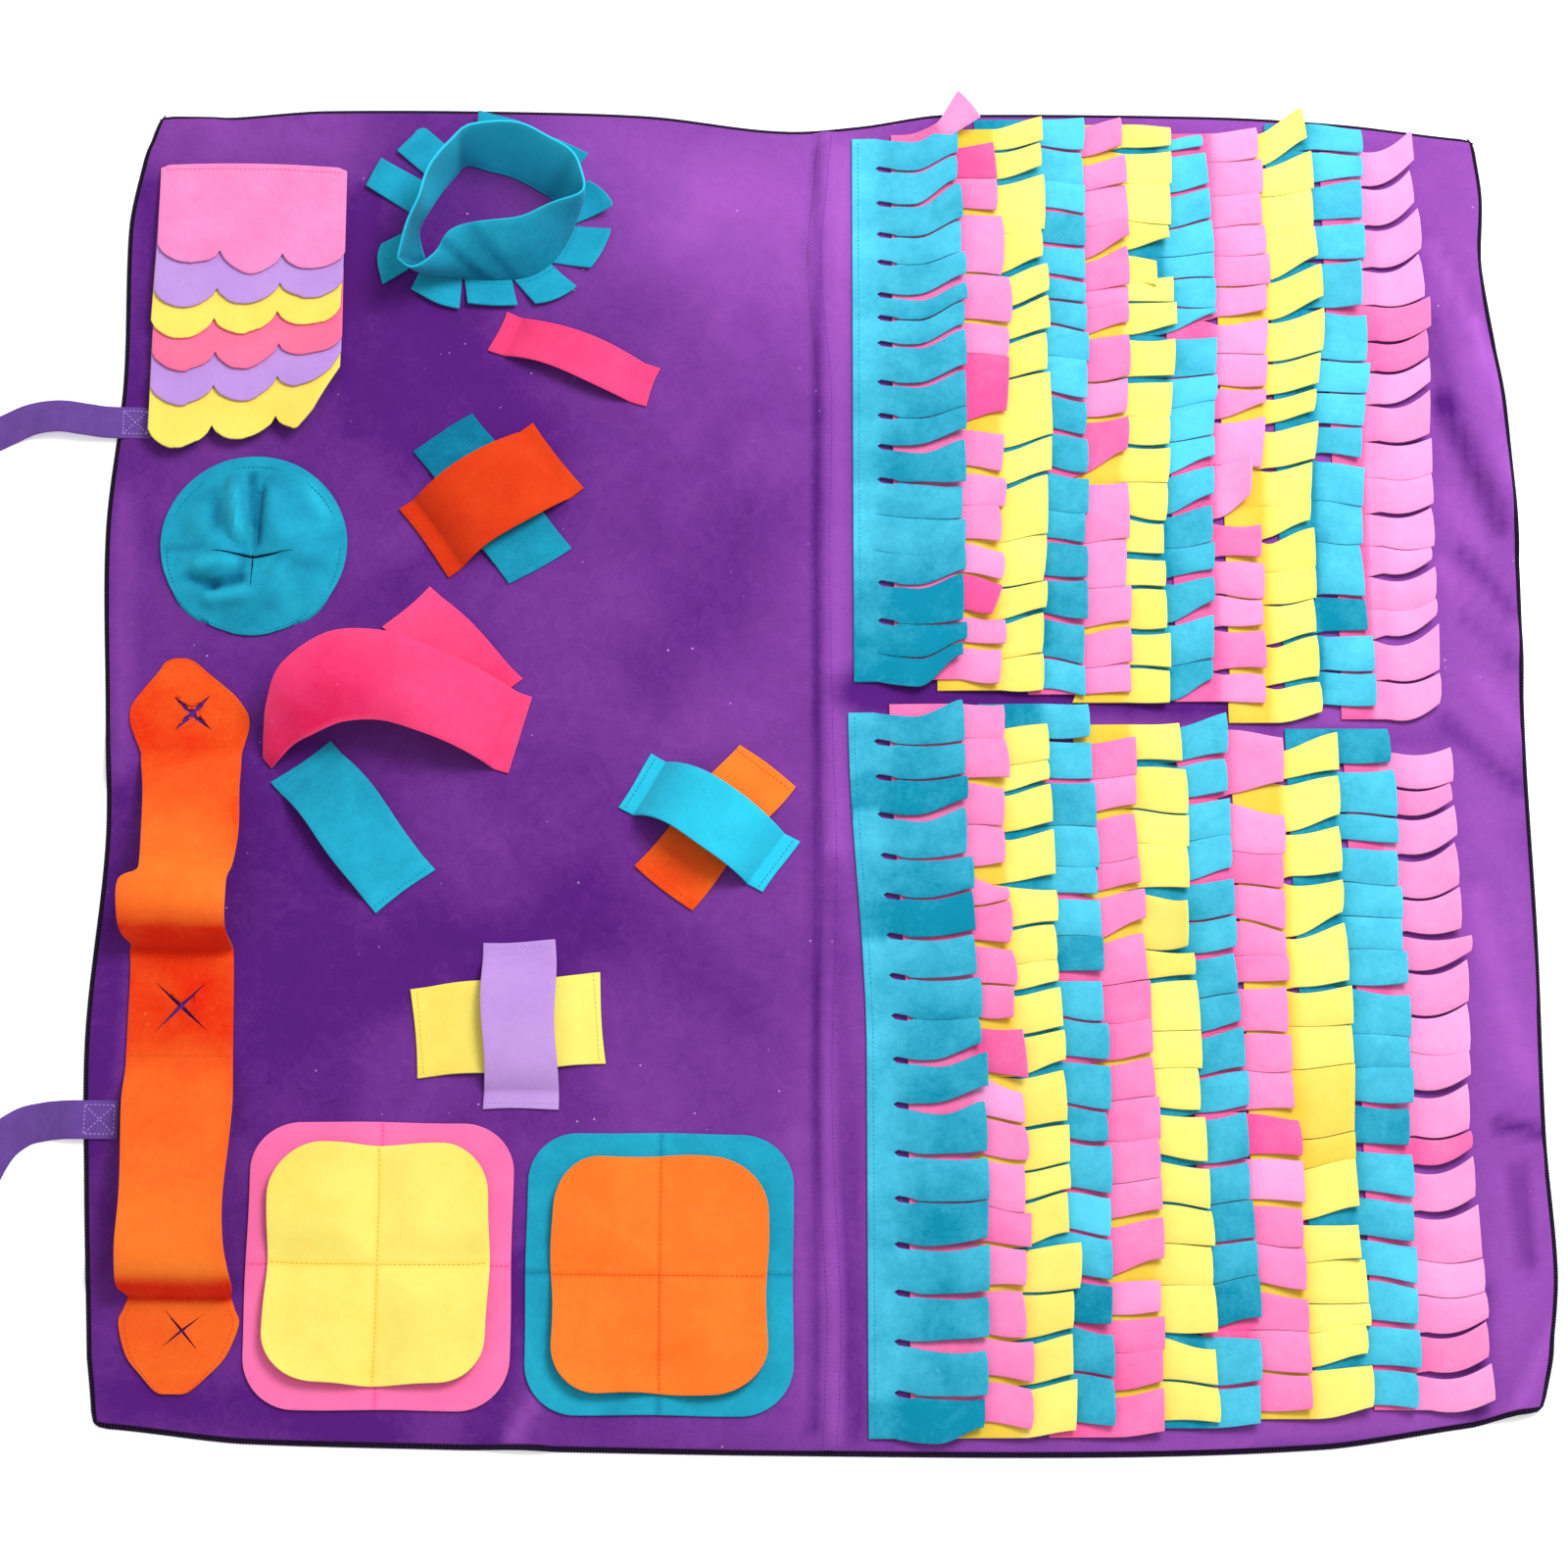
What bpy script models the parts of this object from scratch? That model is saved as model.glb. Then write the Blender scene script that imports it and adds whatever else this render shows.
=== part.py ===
"""Snuffle mat: a square fleece blanket with felt pieces sewn on it to hide treats in.

The mat lies flat. Its origin is at the middle of its underside, X runs to the right,
Y runs away from the reader and Z is up. Sizes are in millimetres up to add_sheet,
which turns them into Blender's metres.

Each piece is a sheet: points on its underside, faces between them, and a thickness.
"""

import math

import bmesh
import bpy
from mathutils import Vector

MM = 0.001
ROOT = "snuffle_mat"
SHARP_ANGLE = math.radians(50)
MOST_MITRE = 0.6  # the least cosine that a standing sheet's thickness is stretched by at a crease

# Cloth thicknesses and the gap between two pieces that lie on each other
BACKING_THICK = 1.2
FLEECE_THICK = 2.0
FELT_THICK = 1.8
WEBBING_THICK = 1.5
GAP = 0.3
LAYER = FELT_THICK + GAP
FLEECE_Z = BACKING_THICK + GAP
SEAT_Z = FLEECE_Z + FLEECE_THICK + GAP

# Corners of the backing: top left, top right, bottom right, bottom left
CORNERS = ((-503, 500), (499, 502), (499, -483), (-503, -502))

# How far each side bows out of its chord: (share of the side, bow)
TOP_BOW = ((0, 0), (0.05, 2), (0.12, 9), (0.25, 11), (0.37, 9), (0.47, -2), (0.53, 3),
           (0.59, 14), (0.8, 16), (0.9, 11), (1, 0))
RIGHT_BOW = ((0, 0), (0.05, 4), (0.12, 1), (0.22, 14), (0.35, 17), (0.5, 14), (0.65, 15),
             (0.8, 13), (0.9, 16), (0.96, 9), (1, 0))
BOTTOM_BOW = ((0, 0), (0.05, 10), (0.15, 24), (0.3, 28), (0.55, 24), (0.75, 18), (0.9, 12), (1, 0))
LEFT_BOW = ((0, 0), (0.05, 6), (0.17, 14), (0.28, 19), (0.42, 12), (0.5, 16), (0.66, 24),
            (0.78, 17), (0.91, 19), (0.97, 10), (1, 0))

# Grid lines of the two cloths, as shares of the mat. The first and last of each bound the binding,
# where the backing shows round the fleece.
CLOTH_COLUMNS = (0, 0.003, 0.016, 0.04, 0.1, 0.18, 0.28, 0.39, 0.494, 0.499, 0.504, 0.509, 0.514,
                 0.62, 0.74, 0.86, 0.95, 0.966, 0.982, 0.997, 1)
CLOTH_ROWS = (0, 0.003, 0.02, 0.04, 0.09, 0.15, 0.22, 0.32, 0.42, 0.5, 0.58, 0.66, 0.71, 0.74,
              0.77, 0.82, 0.88, 0.94, 0.97, 0.997, 1)

# Soft folds at the margins: (x, y) of both ends, height, half width
FOLDS = (
    ((474, 410), (512, 340), 5, 20),
    ((480, 280), (518, 170), 6, 20),
    ((482, 130), (520, 60), 4, 18),
    ((516, -440), (470, -500), 6, 16),
    ((-534, 12), (-518, -26), 5, 14),
    ((-524, 500), (-466, 492), 5, 18),
    ((-240, -524), (-196, -512), 4, 10),
    ((-524, -400), (-512, -396), 4, 10),
)
# Middle crease, in the fleece alone: its share of the mat's width, its height and half its share
CREASE = (0.504, 3, 0.0098)

# Fringe: eleven slit strips a panel, each lying over the one on its right
STRIPS = 11
STRIP_WIDTH = 83.0
SPINE_WIDTH = 18.0
FIRST_STRIP_X = 22.0
STRIP_PITCH = 29.1
PITCH_GROWTH = 0.66
REST_AT = 57.0  # a tongue's length that the strip on its left can still cover
SLIT_WIDTH = 3.4
SLIT_WAVE = 4.5
WAVE_RUN_IN = 12.0  # from the spine to where the wave is full
# How unevenly the tongues' tips lie: in x, in y, up, and from one corner to the other
TIP_UNEVEN = (3.5, 1.5, 7.0, 2.5)
REST_SHARE = 0.45  # of the tip's unevenness in x and y, where the tongue leaves its cover
# The lower panel leans to the right down its length: whole lean, its top, the length that it
# takes, the share of it at the top, and the x where the rows stand straight
PANEL_LEAN = (13.0, 27, 260, 0.35, 480)
PANELS = (
    # name, top edge, bottom edge, tongues, how much wider the lower tongues are
    ("upper", 492.0, 48.0, 13, 0.05),
    ("lower", 27.0, -501.0, 14, 0.14),
)
# Where the rows run out of straight: centre x and y, reach in x and y, and drop
SAGS = (
    (390, 42, 220, 120, 19),
    (270, 510, 240, 90, -9),
    (480, -510, 130, 90, -8),
)
# Tongues that lie out of line: (panel, strip, tongue) and the shift of the tip in x, y and z
STRAY_TONGUES = {
    ("upper", 2, 1): (-6, 30, 10),
    ("upper", 9, 1): (0, 9, 4),
    ("upper", 4, 13): (2, -7, 3),
    ("lower", 2, 14): (0, -5, 4),
    ("lower", 9, 14): (4, -5, 5),
}

# Scalloped flaps: the first is sewn highest and lies over all the others
FLAPS = 6
FLAP_LEFT, FLAP_TOP = -500.0, 459.0
FLAP_WIDTH, FLAP_PITCH = 140.0, 27.0
FLAP_LAYER = LAYER + 0.5  # looser than the other layers, since the corners turn
# Lowest y of each flap's left, middle and right lobes
FLAP_TIPS = ((375, 366, 371), (337, 341, 348), (312, 317, 326), (286, 288, 302), (258, 262, 275),
             (223, 232, 240))
LOBES = 3
LOBE_DEPTH = 16.0
LOBE_STEPS = 4
# Turned-up lower right corners: a point and the slope of the line that they turn on, then the
# reach, rise, pull and spread of the layers
CORNER_TURN = ((105, 252), (0.9, 0.44), 26, 17, 16, 2.5)

# Crown ring: foot circle, and the rim as (foot angle, x, y and height from the foot's centre)
# Standing band: its foot is an oval, and its rim leans in and out of it
RING_CENTRE = (-239, 416)
RING_RADII = (57, 47)
RING_STATIONS = 20
RING_BULGE = 3.0
TAB_LENGTHS = (37, 24, 28, 30, 28, 38, 47, 52, 53, 43)  # from the lower left, anticlockwise
# Rim: angle about the centre, x, y and height over the seat
RING_RIM = ((-138, -78, -54, 50), (-115, -62, -47, 48), (-95, -47, -37, 46), (-74, -33, -29, 46),
            (-52, -10, -22, 46), (-30, 16, -13, 47), (-10, 38, -4, 50), (10, 57, 5, 52),
            (30, 53, 26, 54), (52, 40, 44, 54), (76, 19, 58, 54), (100, -7, 64, 54),
            (124, -29, 55, 54), (148, -47, 41, 53), (172, -57, 15, 52), (198, -67, -17, 51),
            (222, -78, -54, 50))

DISC_CENTRE = (-418, 151)
DISC_RADII = (68, 70)
DISC_RISE = 13.0
DISC_SHOULDER = 1.5  # how steeply the pocket rises from its sewn edge
DISC_DIMPLE = (7.0, 0.22)  # depth and reach of the hollow round the slits, the reach a share of the disc
DISC_SLIT_DROP = 13.0  # how far below the disc's middle its slits cross
DISC_LINES = (-1, -0.74, -0.42, -0.02, 0.02, 0.42, 0.74, 1)

# Long strip, from its top to its bottom: y and the height of the underside over the seat,
# then the left and right edges
ARCH_ONE = ((-40, 10, -490, -419), (-75, 22, -487, -417), (-105, 33, -486, -418),
            (-124, 37, -493, -423), (-141, 34, -498, -424), (-152, 23, -498, -424),
            (-157, 10, -495, -421))
MIDDLE_PATCH = ((-160, 0, -493, -420), (-242, 0, -492, -417))  # its top and its bottom edge
ARCH_TWO = ((-272, 9, -492, -416), (-312, 19, -491, -416), (-350, 28, -490, -417),
            (-378, 31, -490, -416), (-396, 27, -489, -413), (-405, 17, -488, -411),
            (-408, 8, -484, -411))
TOP_CAP = ((-493, -11), (-502, 17), (-496, 34), (-478, 58), (-457, 60), (-425, 32), (-415, 16), (-420, -11))
BOTTOM_CAP = ((-411, -411), (-405, -430), (-413, -452), (-437, -477), (-459, -478),
              (-482, -452), (-488, -430), (-482, -411))
# Slit crosses of the three patches: centre, half length, turn in degrees, how far they gape
SLIT_CROSSES = ((-457, 19, 19, -42, 2.6), (-455, -202, 27, 47, 1.6), (-444, -435, 20, -50, 1.2))

# Rounded squares sewn along a cross: centre, half sizes, layer, puff
PADS = (
    ("pad_pink", (-310, -387), (92, 102), 0, 0.0, "hot_pink"),
    ("pad_yellow", (-311, -387), (77, 85), 1, 4.0, "yellow"),
    ("pad_teal", (-115, -391), (93, 100), 0, 0.0, "teal"),
    ("pad_orange", (-115, -393), (75, 84), 1, 4.0, "orange"),
)
PAD_LINES = (-1, -0.86, -0.6, 0, 0.6, 0.86, 1)
PAD_ROUNDING = 0.11
PAD_SEAM_REACH = 30.0  # from a seam to where the pad is fully puffed
PAD_WAVE = (2.0, 9)  # height and number of the waves along the upper pads' edges

# Tunnel strips: centre of the visible end, direction in degrees, length, width, rise, colour
TUNNEL_STRIPS = (
    ("cross_a_under", (-281.5, 243.5), -55.7, 129, 54, 2.5, "teal"),
    ("cross_a_over", (-294.5, 155), 35.8, 121, 66, 13, "orange"),
    ("cross_b_under", (-305, 104.5), -45.8, 100, 48, 2.5, "hot_pink"),
    ("cross_c_under", (-290.5, -219.5), 5.1, 134, 67, 2.5, "yellow"),
    ("cross_c_over", (-214, -274.5), 92, 124, 52, 13, "lilac"),
    ("cross_d_under", (-115.5, -109.5), 51.9, 120, 52, 2.5, "orange"),
    ("cross_d_over", (-31, -93), 148, 124, 48, 27, "teal"),
    ("tunnel_e", (-377, -16.5), -52, 125, 54, 10, "teal"),
    ("tunnel_f", (-243.5, 327), -21, 125, 34, 10, "hot_pink"),
)
TUNNEL_TAB = 13.0
TUNNEL_SQUARE = 3.0
TUNNEL_STATIONS = (0, 0.07, 0.2, 0.36, 0.5, 0.64, 0.8, 0.93, 1)  # shares of the free length

# Gathered arch over cross_b_under: x, y and height over the seat of both edges, and its crown
ARCH_CROWN = 0.06  # how far the middle stands over the edges, as a share of the width
GATHERED_ARCH = (
    ((-404, -14, 0), (-398, -22, 0)),
    ((-403, 4, 13), (-391, -16, 7)),
    ((-401, 22, 25), (-382, -9, 14)),
    ((-391, 45, 38), (-368, -4, 23)),
    ((-359, 66, 45), (-346, 3, 32)),
    ((-322, 68, 45), (-319, 4, 34)),
    ((-293, 61, 39), (-293, -3, 32)),
    ((-262, 52, 28), (-270, -10, 24)),
    ((-236, 43, 12), (-249, -17, 10)),
    ((-224, 39, 1), (-238, -21, 0)),
    ((-212, 35, 0), (-228, -24, 0)),
)

# Webbing ties: x, y and height of the middle line, width
TIE_WIDTHS = {"tie_upper": 25.0, "tie_lower": 28.0}
TIE_PATHS = {
    "tie_upper": ((-497, 247, SEAT_Z), (-528, 247, SEAT_Z + 0.6), (-545, 248, 7), (-565, 250, 8),
                  (-585, 248, 5), (-603, 241, 1), (-620, 233, 0), (-650, 224, 0), (-690, 219, 0)),
    "tie_lower": ((-495, -285, SEAT_Z), (-526, -285, SEAT_Z + 0.2), (-538, -285, 1.5), (-548, -286, 0),
                  (-562, -290, 0), (-577, -302, 0), (-588, -322, 0), (-598, -352, 0), (-606, -388, 0)),
}

COLOURS = {
    "purple": (0.20, 0.045, 0.36),
    "backing": (0.02, 0.008, 0.035),
    "webbing": (0.16, 0.07, 0.34),
    "teal": (0.01, 0.38, 0.58),
    "light_pink": (0.95, 0.22, 0.55),
    "hot_pink": (0.90, 0.05, 0.22),
    "yellow": (0.92, 0.78, 0.13),
    "orange": (0.95, 0.16, 0.02),
    "lilac": (0.48, 0.30, 0.72),
}
FRINGE_COLOURS = ("teal", "light_pink", "yellow")
FLAP_COLOURS = ("light_pink", "lilac", "yellow", "hot_pink", "lilac", "yellow")


def ease(share):
    """Rises smoothly from 0 at 0 to 1 at 1, and stays there."""
    share = min(max(share, 0.0), 1.0)
    return share * share * (3 - 2 * share)


def uneven(*keys):
    """A number from -1 to 1 that looks random and is always the same for the same keys."""
    total = sum((index + 1.37) * 12.9898 * key for index, key in enumerate(keys))
    return 2 * ((math.sin(total + 0.5) * 43758.5453) % 1.0) - 1


def smooth_row(table, at):
    """The columns of a table at a place in its first column, on a smooth curve through its rows."""
    place = next((i for i in range(1, len(table) - 1) if at < table[i][0]), len(table) - 1)
    rows = [table[max(min(place + step, len(table) - 1), 0)] for step in (-2, -1, 0, 1)]
    t = (at - rows[1][0]) / (rows[2][0] - rows[1][0])
    found = []
    for a, b, c, d in zip(*(row[1:] for row in rows)):
        found.append(b + 0.5 * t * (c - a + t * (2 * a - 5 * b + 4 * c - d + t * (3 * (b - c) + d - a))))
    return found


def material(name):
    """The felt or cloth of one colour, made once."""
    found = bpy.data.materials.get(name)
    if found:
        return found
    made = bpy.data.materials.new(name)
    made.use_nodes = True
    shader = made.node_tree.nodes["Principled BSDF"]
    shader.inputs["Base Color"].default_value = (*COLOURS[name], 1)
    shader.inputs["Roughness"].default_value = 0.9
    return made


def add_sheet(name, points, faces, thick, colour, stands=False):
    """One closed sheet: the points are its underside, and its faces run anticlockwise from above.

    A sheet that stands up takes its thickness square to its surface, and a lying one straight up.
    """
    used = sorted({index for face in faces for index in face})
    renumber = {old: new for new, old in enumerate(used)}
    faces = [[renumber[index] for index in face] for face in faces]
    under = [Vector(points[index]) for index in used]

    surface = bmesh.new()
    for point in under:
        surface.verts.new(point)
    surface.verts.ensure_lookup_table()
    for face in faces:
        surface.faces.new([surface.verts[index] for index in face])
    surface.normal_update()
    upper = []
    for vert in surface.verts:
        facing = [face.normal for face in vert.link_faces]
        lean = sum(vert.normal.dot(normal) for normal in facing) / len(facing)
        away = vert.normal / max(lean, MOST_MITRE) if stands else Vector((0, 0, 1))
        upper.append(vert.co + away * thick)
    surface.free()
    sides = {(face[i], face[(i + 1) % len(face)]) for face in faces for i in range(len(face))}
    rims = sorted(side for side in sides if side[::-1] not in sides)

    count = len(under)
    centre = sum(under, Vector()) / count
    shell = bmesh.new()
    verts = [shell.verts.new((point - centre) * MM) for point in under + upper]
    for face in faces:
        shell.faces.new([verts[index + count] for index in face])
        shell.faces.new([verts[index] for index in reversed(face)])
    for a, b in rims:
        shell.faces.new([verts[a], verts[b], verts[b + count], verts[a + count]])
    mesh = bpy.data.meshes.new(name)
    shell.to_mesh(mesh)
    shell.free()
    mesh.materials.append(material(colour))
    mesh.shade_smooth()
    mesh.set_sharp_from_angle(angle=SHARP_ANGLE)
    node = bpy.data.objects.new(name, mesh)
    node.location = centre * MM
    node.parent = bpy.data.objects[ROOT]
    bpy.context.collection.objects.link(node)


def grid_faces(rows, columns, missing=()):
    """Four-sided faces of a grid whose points run along its columns, less the missing (row, column)."""
    faces = []
    for row in range(rows):
        for column in range(columns):
            if (row, column) not in missing:
                first = row * (columns + 1) + column
                faces.append((first, first + 1, first + columns + 2, first + columns + 1))
    return faces


def halved_faces(rows, columns):
    """The grid's faces cut into triangles along the same diagonal, so that stacked sheets match."""
    return [half for a, b, c, d in grid_faces(rows, columns) for half in ((a, b, c), (a, c, d))]


def side_point(start, end, bow, share):
    """A point on one bowed side of the mat, the bow turned out of the mat."""
    (x0, y0), (x1, y1) = start, end
    length = math.hypot(x1 - x0, y1 - y0)
    out = smooth_row(bow, share)[0]
    across = (-(y1 - y0) / length, (x1 - x0) / length)
    return (x0 + (x1 - x0) * share + across[0] * out, y0 + (y1 - y0) * share + across[1] * out)


def mat_point(u, v):
    """The place on the backing at a share u from the left and v from the bottom."""
    top_left, top_right, bottom_right, bottom_left = CORNERS
    top = side_point(top_left, top_right, TOP_BOW, u)
    right = side_point(top_right, bottom_right, RIGHT_BOW, 1 - v)
    bottom = side_point(bottom_right, bottom_left, BOTTOM_BOW, 1 - u)
    left = side_point(bottom_left, top_left, LEFT_BOW, v)
    place = []
    for axis in (0, 1):
        corners = (1 - u) * (v * top_left[axis] + (1 - v) * bottom_left[axis]) + u * (
            v * top_right[axis] + (1 - v) * bottom_right[axis])
        across = v * top[axis] + (1 - v) * bottom[axis]
        along = (1 - u) * left[axis] + u * right[axis]
        place.append(across + along - corners)
    return place


def fold_rise(x, y):
    """How far the cloth stands off the floor in the soft folds at its margins."""
    rise = 0.0
    for (x0, y0), (x1, y1), height, half_width in FOLDS:
        run = (x1 - x0, y1 - y0)
        along = ((x - x0) * run[0] + (y - y0) * run[1]) / (run[0] ** 2 + run[1] ** 2)
        nearest = min(max(along, 0), 1)
        away = math.hypot(x - x0 - nearest * run[0], y - y0 - nearest * run[1])
        rise = max(rise, height * ease(1 - away / half_width))
    return rise


def crease_rise(u):
    """How far the fleece stands off its backing at the middle crease."""
    place, height, half_share = CREASE
    return height * ease(1 - abs(u - place) / half_share)


def make_cloths():
    """The two square cloths: the fleece lies on the backing's folds and stops at its binding."""
    rows = [[Vector((*mat_point(u, v), 0)) for u in CLOTH_COLUMNS] for v in CLOTH_ROWS]
    for row in rows:
        for point in row:
            point.z = fold_rise(point.x, point.y)
    add_sheet("backing_cloth", [point for row in rows for point in row],
              halved_faces(len(rows) - 1, len(rows[0]) - 1), BACKING_THICK, "backing")
    inner = [[point + Vector((0, 0, FLEECE_Z + crease_rise(u)))
              for point, u in zip(row[1:-1], CLOTH_COLUMNS[1:-1])] for row in rows[1:-1]]
    add_sheet("top_cloth", [point for row in inner for point in row],
              halved_faces(len(inner) - 1, len(inner[0]) - 1), FLEECE_THICK, "purple")


def strip_x(level):
    """Where the strip at this level of the shingled stack starts; the first has level 0."""
    return FIRST_STRIP_X + STRIP_PITCH * level + PITCH_GROWTH * level ** 2


def level_at(x):
    """The level of the strip that would start at x: the inverse of strip_x."""
    return (math.sqrt(STRIP_PITCH ** 2 + 4 * PITCH_GROWTH * (x - FIRST_STRIP_X)) - STRIP_PITCH) / (
        2 * PITCH_GROWTH)


def fringe_place(x, y, along, level):
    """A point of a strip, moved by the waves, lean and sag that all the strips share."""
    turn = math.pi * level_at(x - STRIP_WIDTH)
    wave = SLIT_WAVE * math.cos(turn) * ease((along - SPINE_WIDTH) / WAVE_RUN_IN)
    whole, top, reach, at_top, straight_x = PANEL_LEAN
    lean = whole * (ease((top - y) / reach) - at_top) * (1 - x / straight_x) if y < top + GAP else 0
    sag = sum(drop * ease(1 - abs(x - sag_x) / reach_x) * ease(1 - abs(y - sag_y) / reach_y)
              for sag_x, sag_y, reach_x, reach_y, drop in SAGS)
    return (x + lean, y + wave - sag, SEAT_Z + LAYER * (level_at(x) - level))


def make_fringe_strip(panel, number):
    """One strip: a sewn spine and a row of tongues, parted by slits that open from their roots."""
    name, top, bottom, tongues, widening = panel
    level = number - 1
    start = strip_x(level)
    breaks = []
    for row in range(tongues + 1):
        share = row / tongues
        breaks.append(top + (bottom - top) * (share - widening * share * (1 - share)))
    points = []
    for y in reversed(breaks):
        for along in (0, SPINE_WIDTH):
            points.append(fringe_place(start + along, y, along, level))
    faces = grid_faces(tongues, 1)
    for row in range(tongues):
        tongue = tongues - row
        shift_x, shift_y, shift_z = STRAY_TONGUES.get((name, number, tongue), (0, 0, 0))
        shift_x += TIP_UNEVEN[0] * uneven(number, tongue, 1)
        shift_y += TIP_UNEVEN[1] * uneven(number, tongue, 2)
        curl = shift_z + TIP_UNEVEN[2] * max(uneven(number, tongue, 3), 0)
        twist = TIP_UNEVEN[3] * uneven(number, tongue, 4)
        low, high = breaks[tongue] + SLIT_WIDTH / 2, breaks[tongue - 1] - SLIT_WIDTH / 2
        first = len(points)
        for along, share in ((REST_AT, REST_SHARE), (STRIP_WIDTH, 1)):
            for y, side in ((low, -1), (high, 1)):
                x, y, z = fringe_place(start + along, y, along, level)
                lift = max(curl + side * twist, 0) if along > REST_AT else 0
                points.append((x + shift_x * share, y + shift_y * share, z + lift))
        root = 2 * row + 1
        faces.append((root, first, first + 1, root + 2))
        faces.append((first, first + 2, first + 3, first + 1))
    colour = FRINGE_COLOURS[level % len(FRINGE_COLOURS)]
    add_sheet(f"fringe_{name}_{number:02d}", points, faces, FELT_THICK, colour)


def corner_turn(x, y):
    """How far the flaps' corner is turned up at a place, straight from one row of creases to the next."""
    (turn_x, turn_y), (across, down), reach = CORNER_TURN[:3]
    row = math.floor((FLAP_TOP - y) / FLAP_PITCH)
    turns = [ease(((x - turn_x) * across + (turn_y - FLAP_TOP + FLAP_PITCH * near) * down) / reach)
             for near in (row, row + 1)]
    return turns[0] + (turns[1] - turns[0]) * ((FLAP_TOP - y) / FLAP_PITCH - row)


def flap_tip(number, x):
    """The lowest y of a flap's lobe at x, on straight lines between its three lobes."""
    place = min(max(LOBES * x / FLAP_WIDTH - 0.5, 0), LOBES - 1)
    lobe = min(int(place), LOBES - 2)
    tips = FLAP_TIPS[number - 1]
    return tips[lobe] + (tips[lobe + 1] - tips[lobe]) * (place - lobe)


def make_flap(number):
    """One scalloped flap, which lies over the next and turns up at its lower right corner."""
    columns = LOBES * LOBE_STEPS
    top = FLAP_TOP - FLAP_PITCH * (number - 1)
    reach, rise, pull, spread = CORNER_TURN[2:]
    points = []
    for row in (3, 2, 1, 0):
        for column in range(columns + 1):
            x = FLAP_WIDTH * column / columns
            lobe = abs(math.sin(math.pi * column / LOBE_STEPS)) ** 0.7
            y = top - FLAP_PITCH * row if row < 3 else flap_tip(number, x) + LOBE_DEPTH * (1 - lobe)
            turn = corner_turn(x, y)
            lift = turn * (rise + spread * (FLAPS - number))
            points.append((FLAP_LEFT + x - pull * turn, y + pull * turn * 0.5,
                           SEAT_Z + FLAP_LAYER * (top - y) / FLAP_PITCH + lift))
    add_sheet(f"flap_{number}", points, halved_faces(3, columns), FELT_THICK, FLAP_COLOURS[number - 1])


def make_crown_ring():
    """A standing band, pinched at its lower left, with its foot slit into tabs that lie splayed."""
    centre_x, centre_y = RING_CENTRE
    step = 2 * math.pi / RING_STATIONS
    start = math.radians(RING_RIM[0][0])
    points = []
    for station in range(RING_STATIONS + 1):
        angle = start + step * station
        foot = (RING_RADII[0] * math.cos(angle), RING_RADII[1] * math.sin(angle))
        rim = smooth_row(RING_RIM, math.degrees(angle))
        for share in (0, 0.5, 1):
            bulge = RING_BULGE * math.sin(math.pi * share)
            points.append((centre_x + foot[0] + (rim[0] - foot[0]) * share + bulge * math.cos(angle),
                           centre_y + foot[1] + (rim[1] - foot[1]) * share + bulge * math.sin(angle),
                           SEAT_Z + rim[2] * share))
    faces = []
    for station in range(RING_STATIONS):
        after = 3 * ((station + 1) % RING_STATIONS)
        for row in (0, 1):
            faces.append((3 * station + row, after + row, after + row + 1, 3 * station + row + 1))
    for station in range(0, RING_STATIONS, 2):
        angle = start + step * (station + 1)
        reach = TAB_LENGTHS[station // 2]
        roots = [3 * ((station + side) % RING_STATIONS) for side in (0, 1, 2)]
        tip = len(points)
        for root in roots:
            x, y, z = points[root]
            points.append((x + reach * math.cos(angle), y + reach * math.sin(angle), z))
        for side in (0, 1):
            faces.append((tip + side, tip + side + 1, roots[side + 1], roots[side]))
    add_sheet("crown_ring", points, faces, FELT_THICK, "teal", stands=True)


def make_disc():
    """A round pocket sewn round its edge, slit both ways across its raised middle."""
    count = len(DISC_LINES) - 1
    middle = count // 2
    points = []
    for v in DISC_LINES:
        for u in DISC_LINES:
            x, y = u * math.sqrt(1 - v * v / 2), v * math.sqrt(1 - u * u / 2)
            inward = max(1 - math.hypot(x, y), 0)
            rise = DISC_RISE * ease(DISC_SHOULDER * inward)
            rise -= DISC_DIMPLE[0] * math.exp(-(x ** 2 + y ** 2) / DISC_DIMPLE[1] ** 2)
            points.append((DISC_CENTRE[0] + DISC_RADII[0] * x,
                           DISC_CENTRE[1] + DISC_RADII[1] * y - DISC_SLIT_DROP * math.sqrt(inward),
                           SEAT_Z + max(rise, 0)))
    cross = {(middle, column) for column in range(2, count - 2)}
    cross |= {(row, middle) for row in range(2, count - 2)}
    add_sheet("slit_disc", points, grid_faces(count, count, cross), FELT_THICK, "teal", stands=True)


def slit_patch(outline, cross, points, faces):
    """Faces of a flat patch with a slit cross, fanned between its outline and the cross.

    The outline is a list of point numbers that runs anticlockwise.
    """
    x, y, half, turn, gape = cross
    tips, notches = [], []
    for arm in range(4):
        angle = math.radians(turn + 90 * arm)
        tips.append(len(points))
        points.append((x + half * math.cos(angle), y + half * math.sin(angle), SEAT_Z))
        angle += math.pi / 4
        notches.append(len(points))
        points.append((x + gape * math.cos(angle), y + gape * math.sin(angle), SEAT_Z))
    nearest = []
    for tip in tips:
        nearest.append(min(range(len(outline)), key=lambda place: math.dist(
            points[outline[place]][:2], points[tip][:2])))
    for arm in range(4):
        begin, end = nearest[arm], nearest[(arm + 1) % 4]
        span = (end - begin) % len(outline)
        edge = [outline[(begin + step) % len(outline)] for step in range(span + 1)]
        faces.append(edge + [tips[(arm + 1) % 4], notches[arm], tips[arm]])


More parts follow.
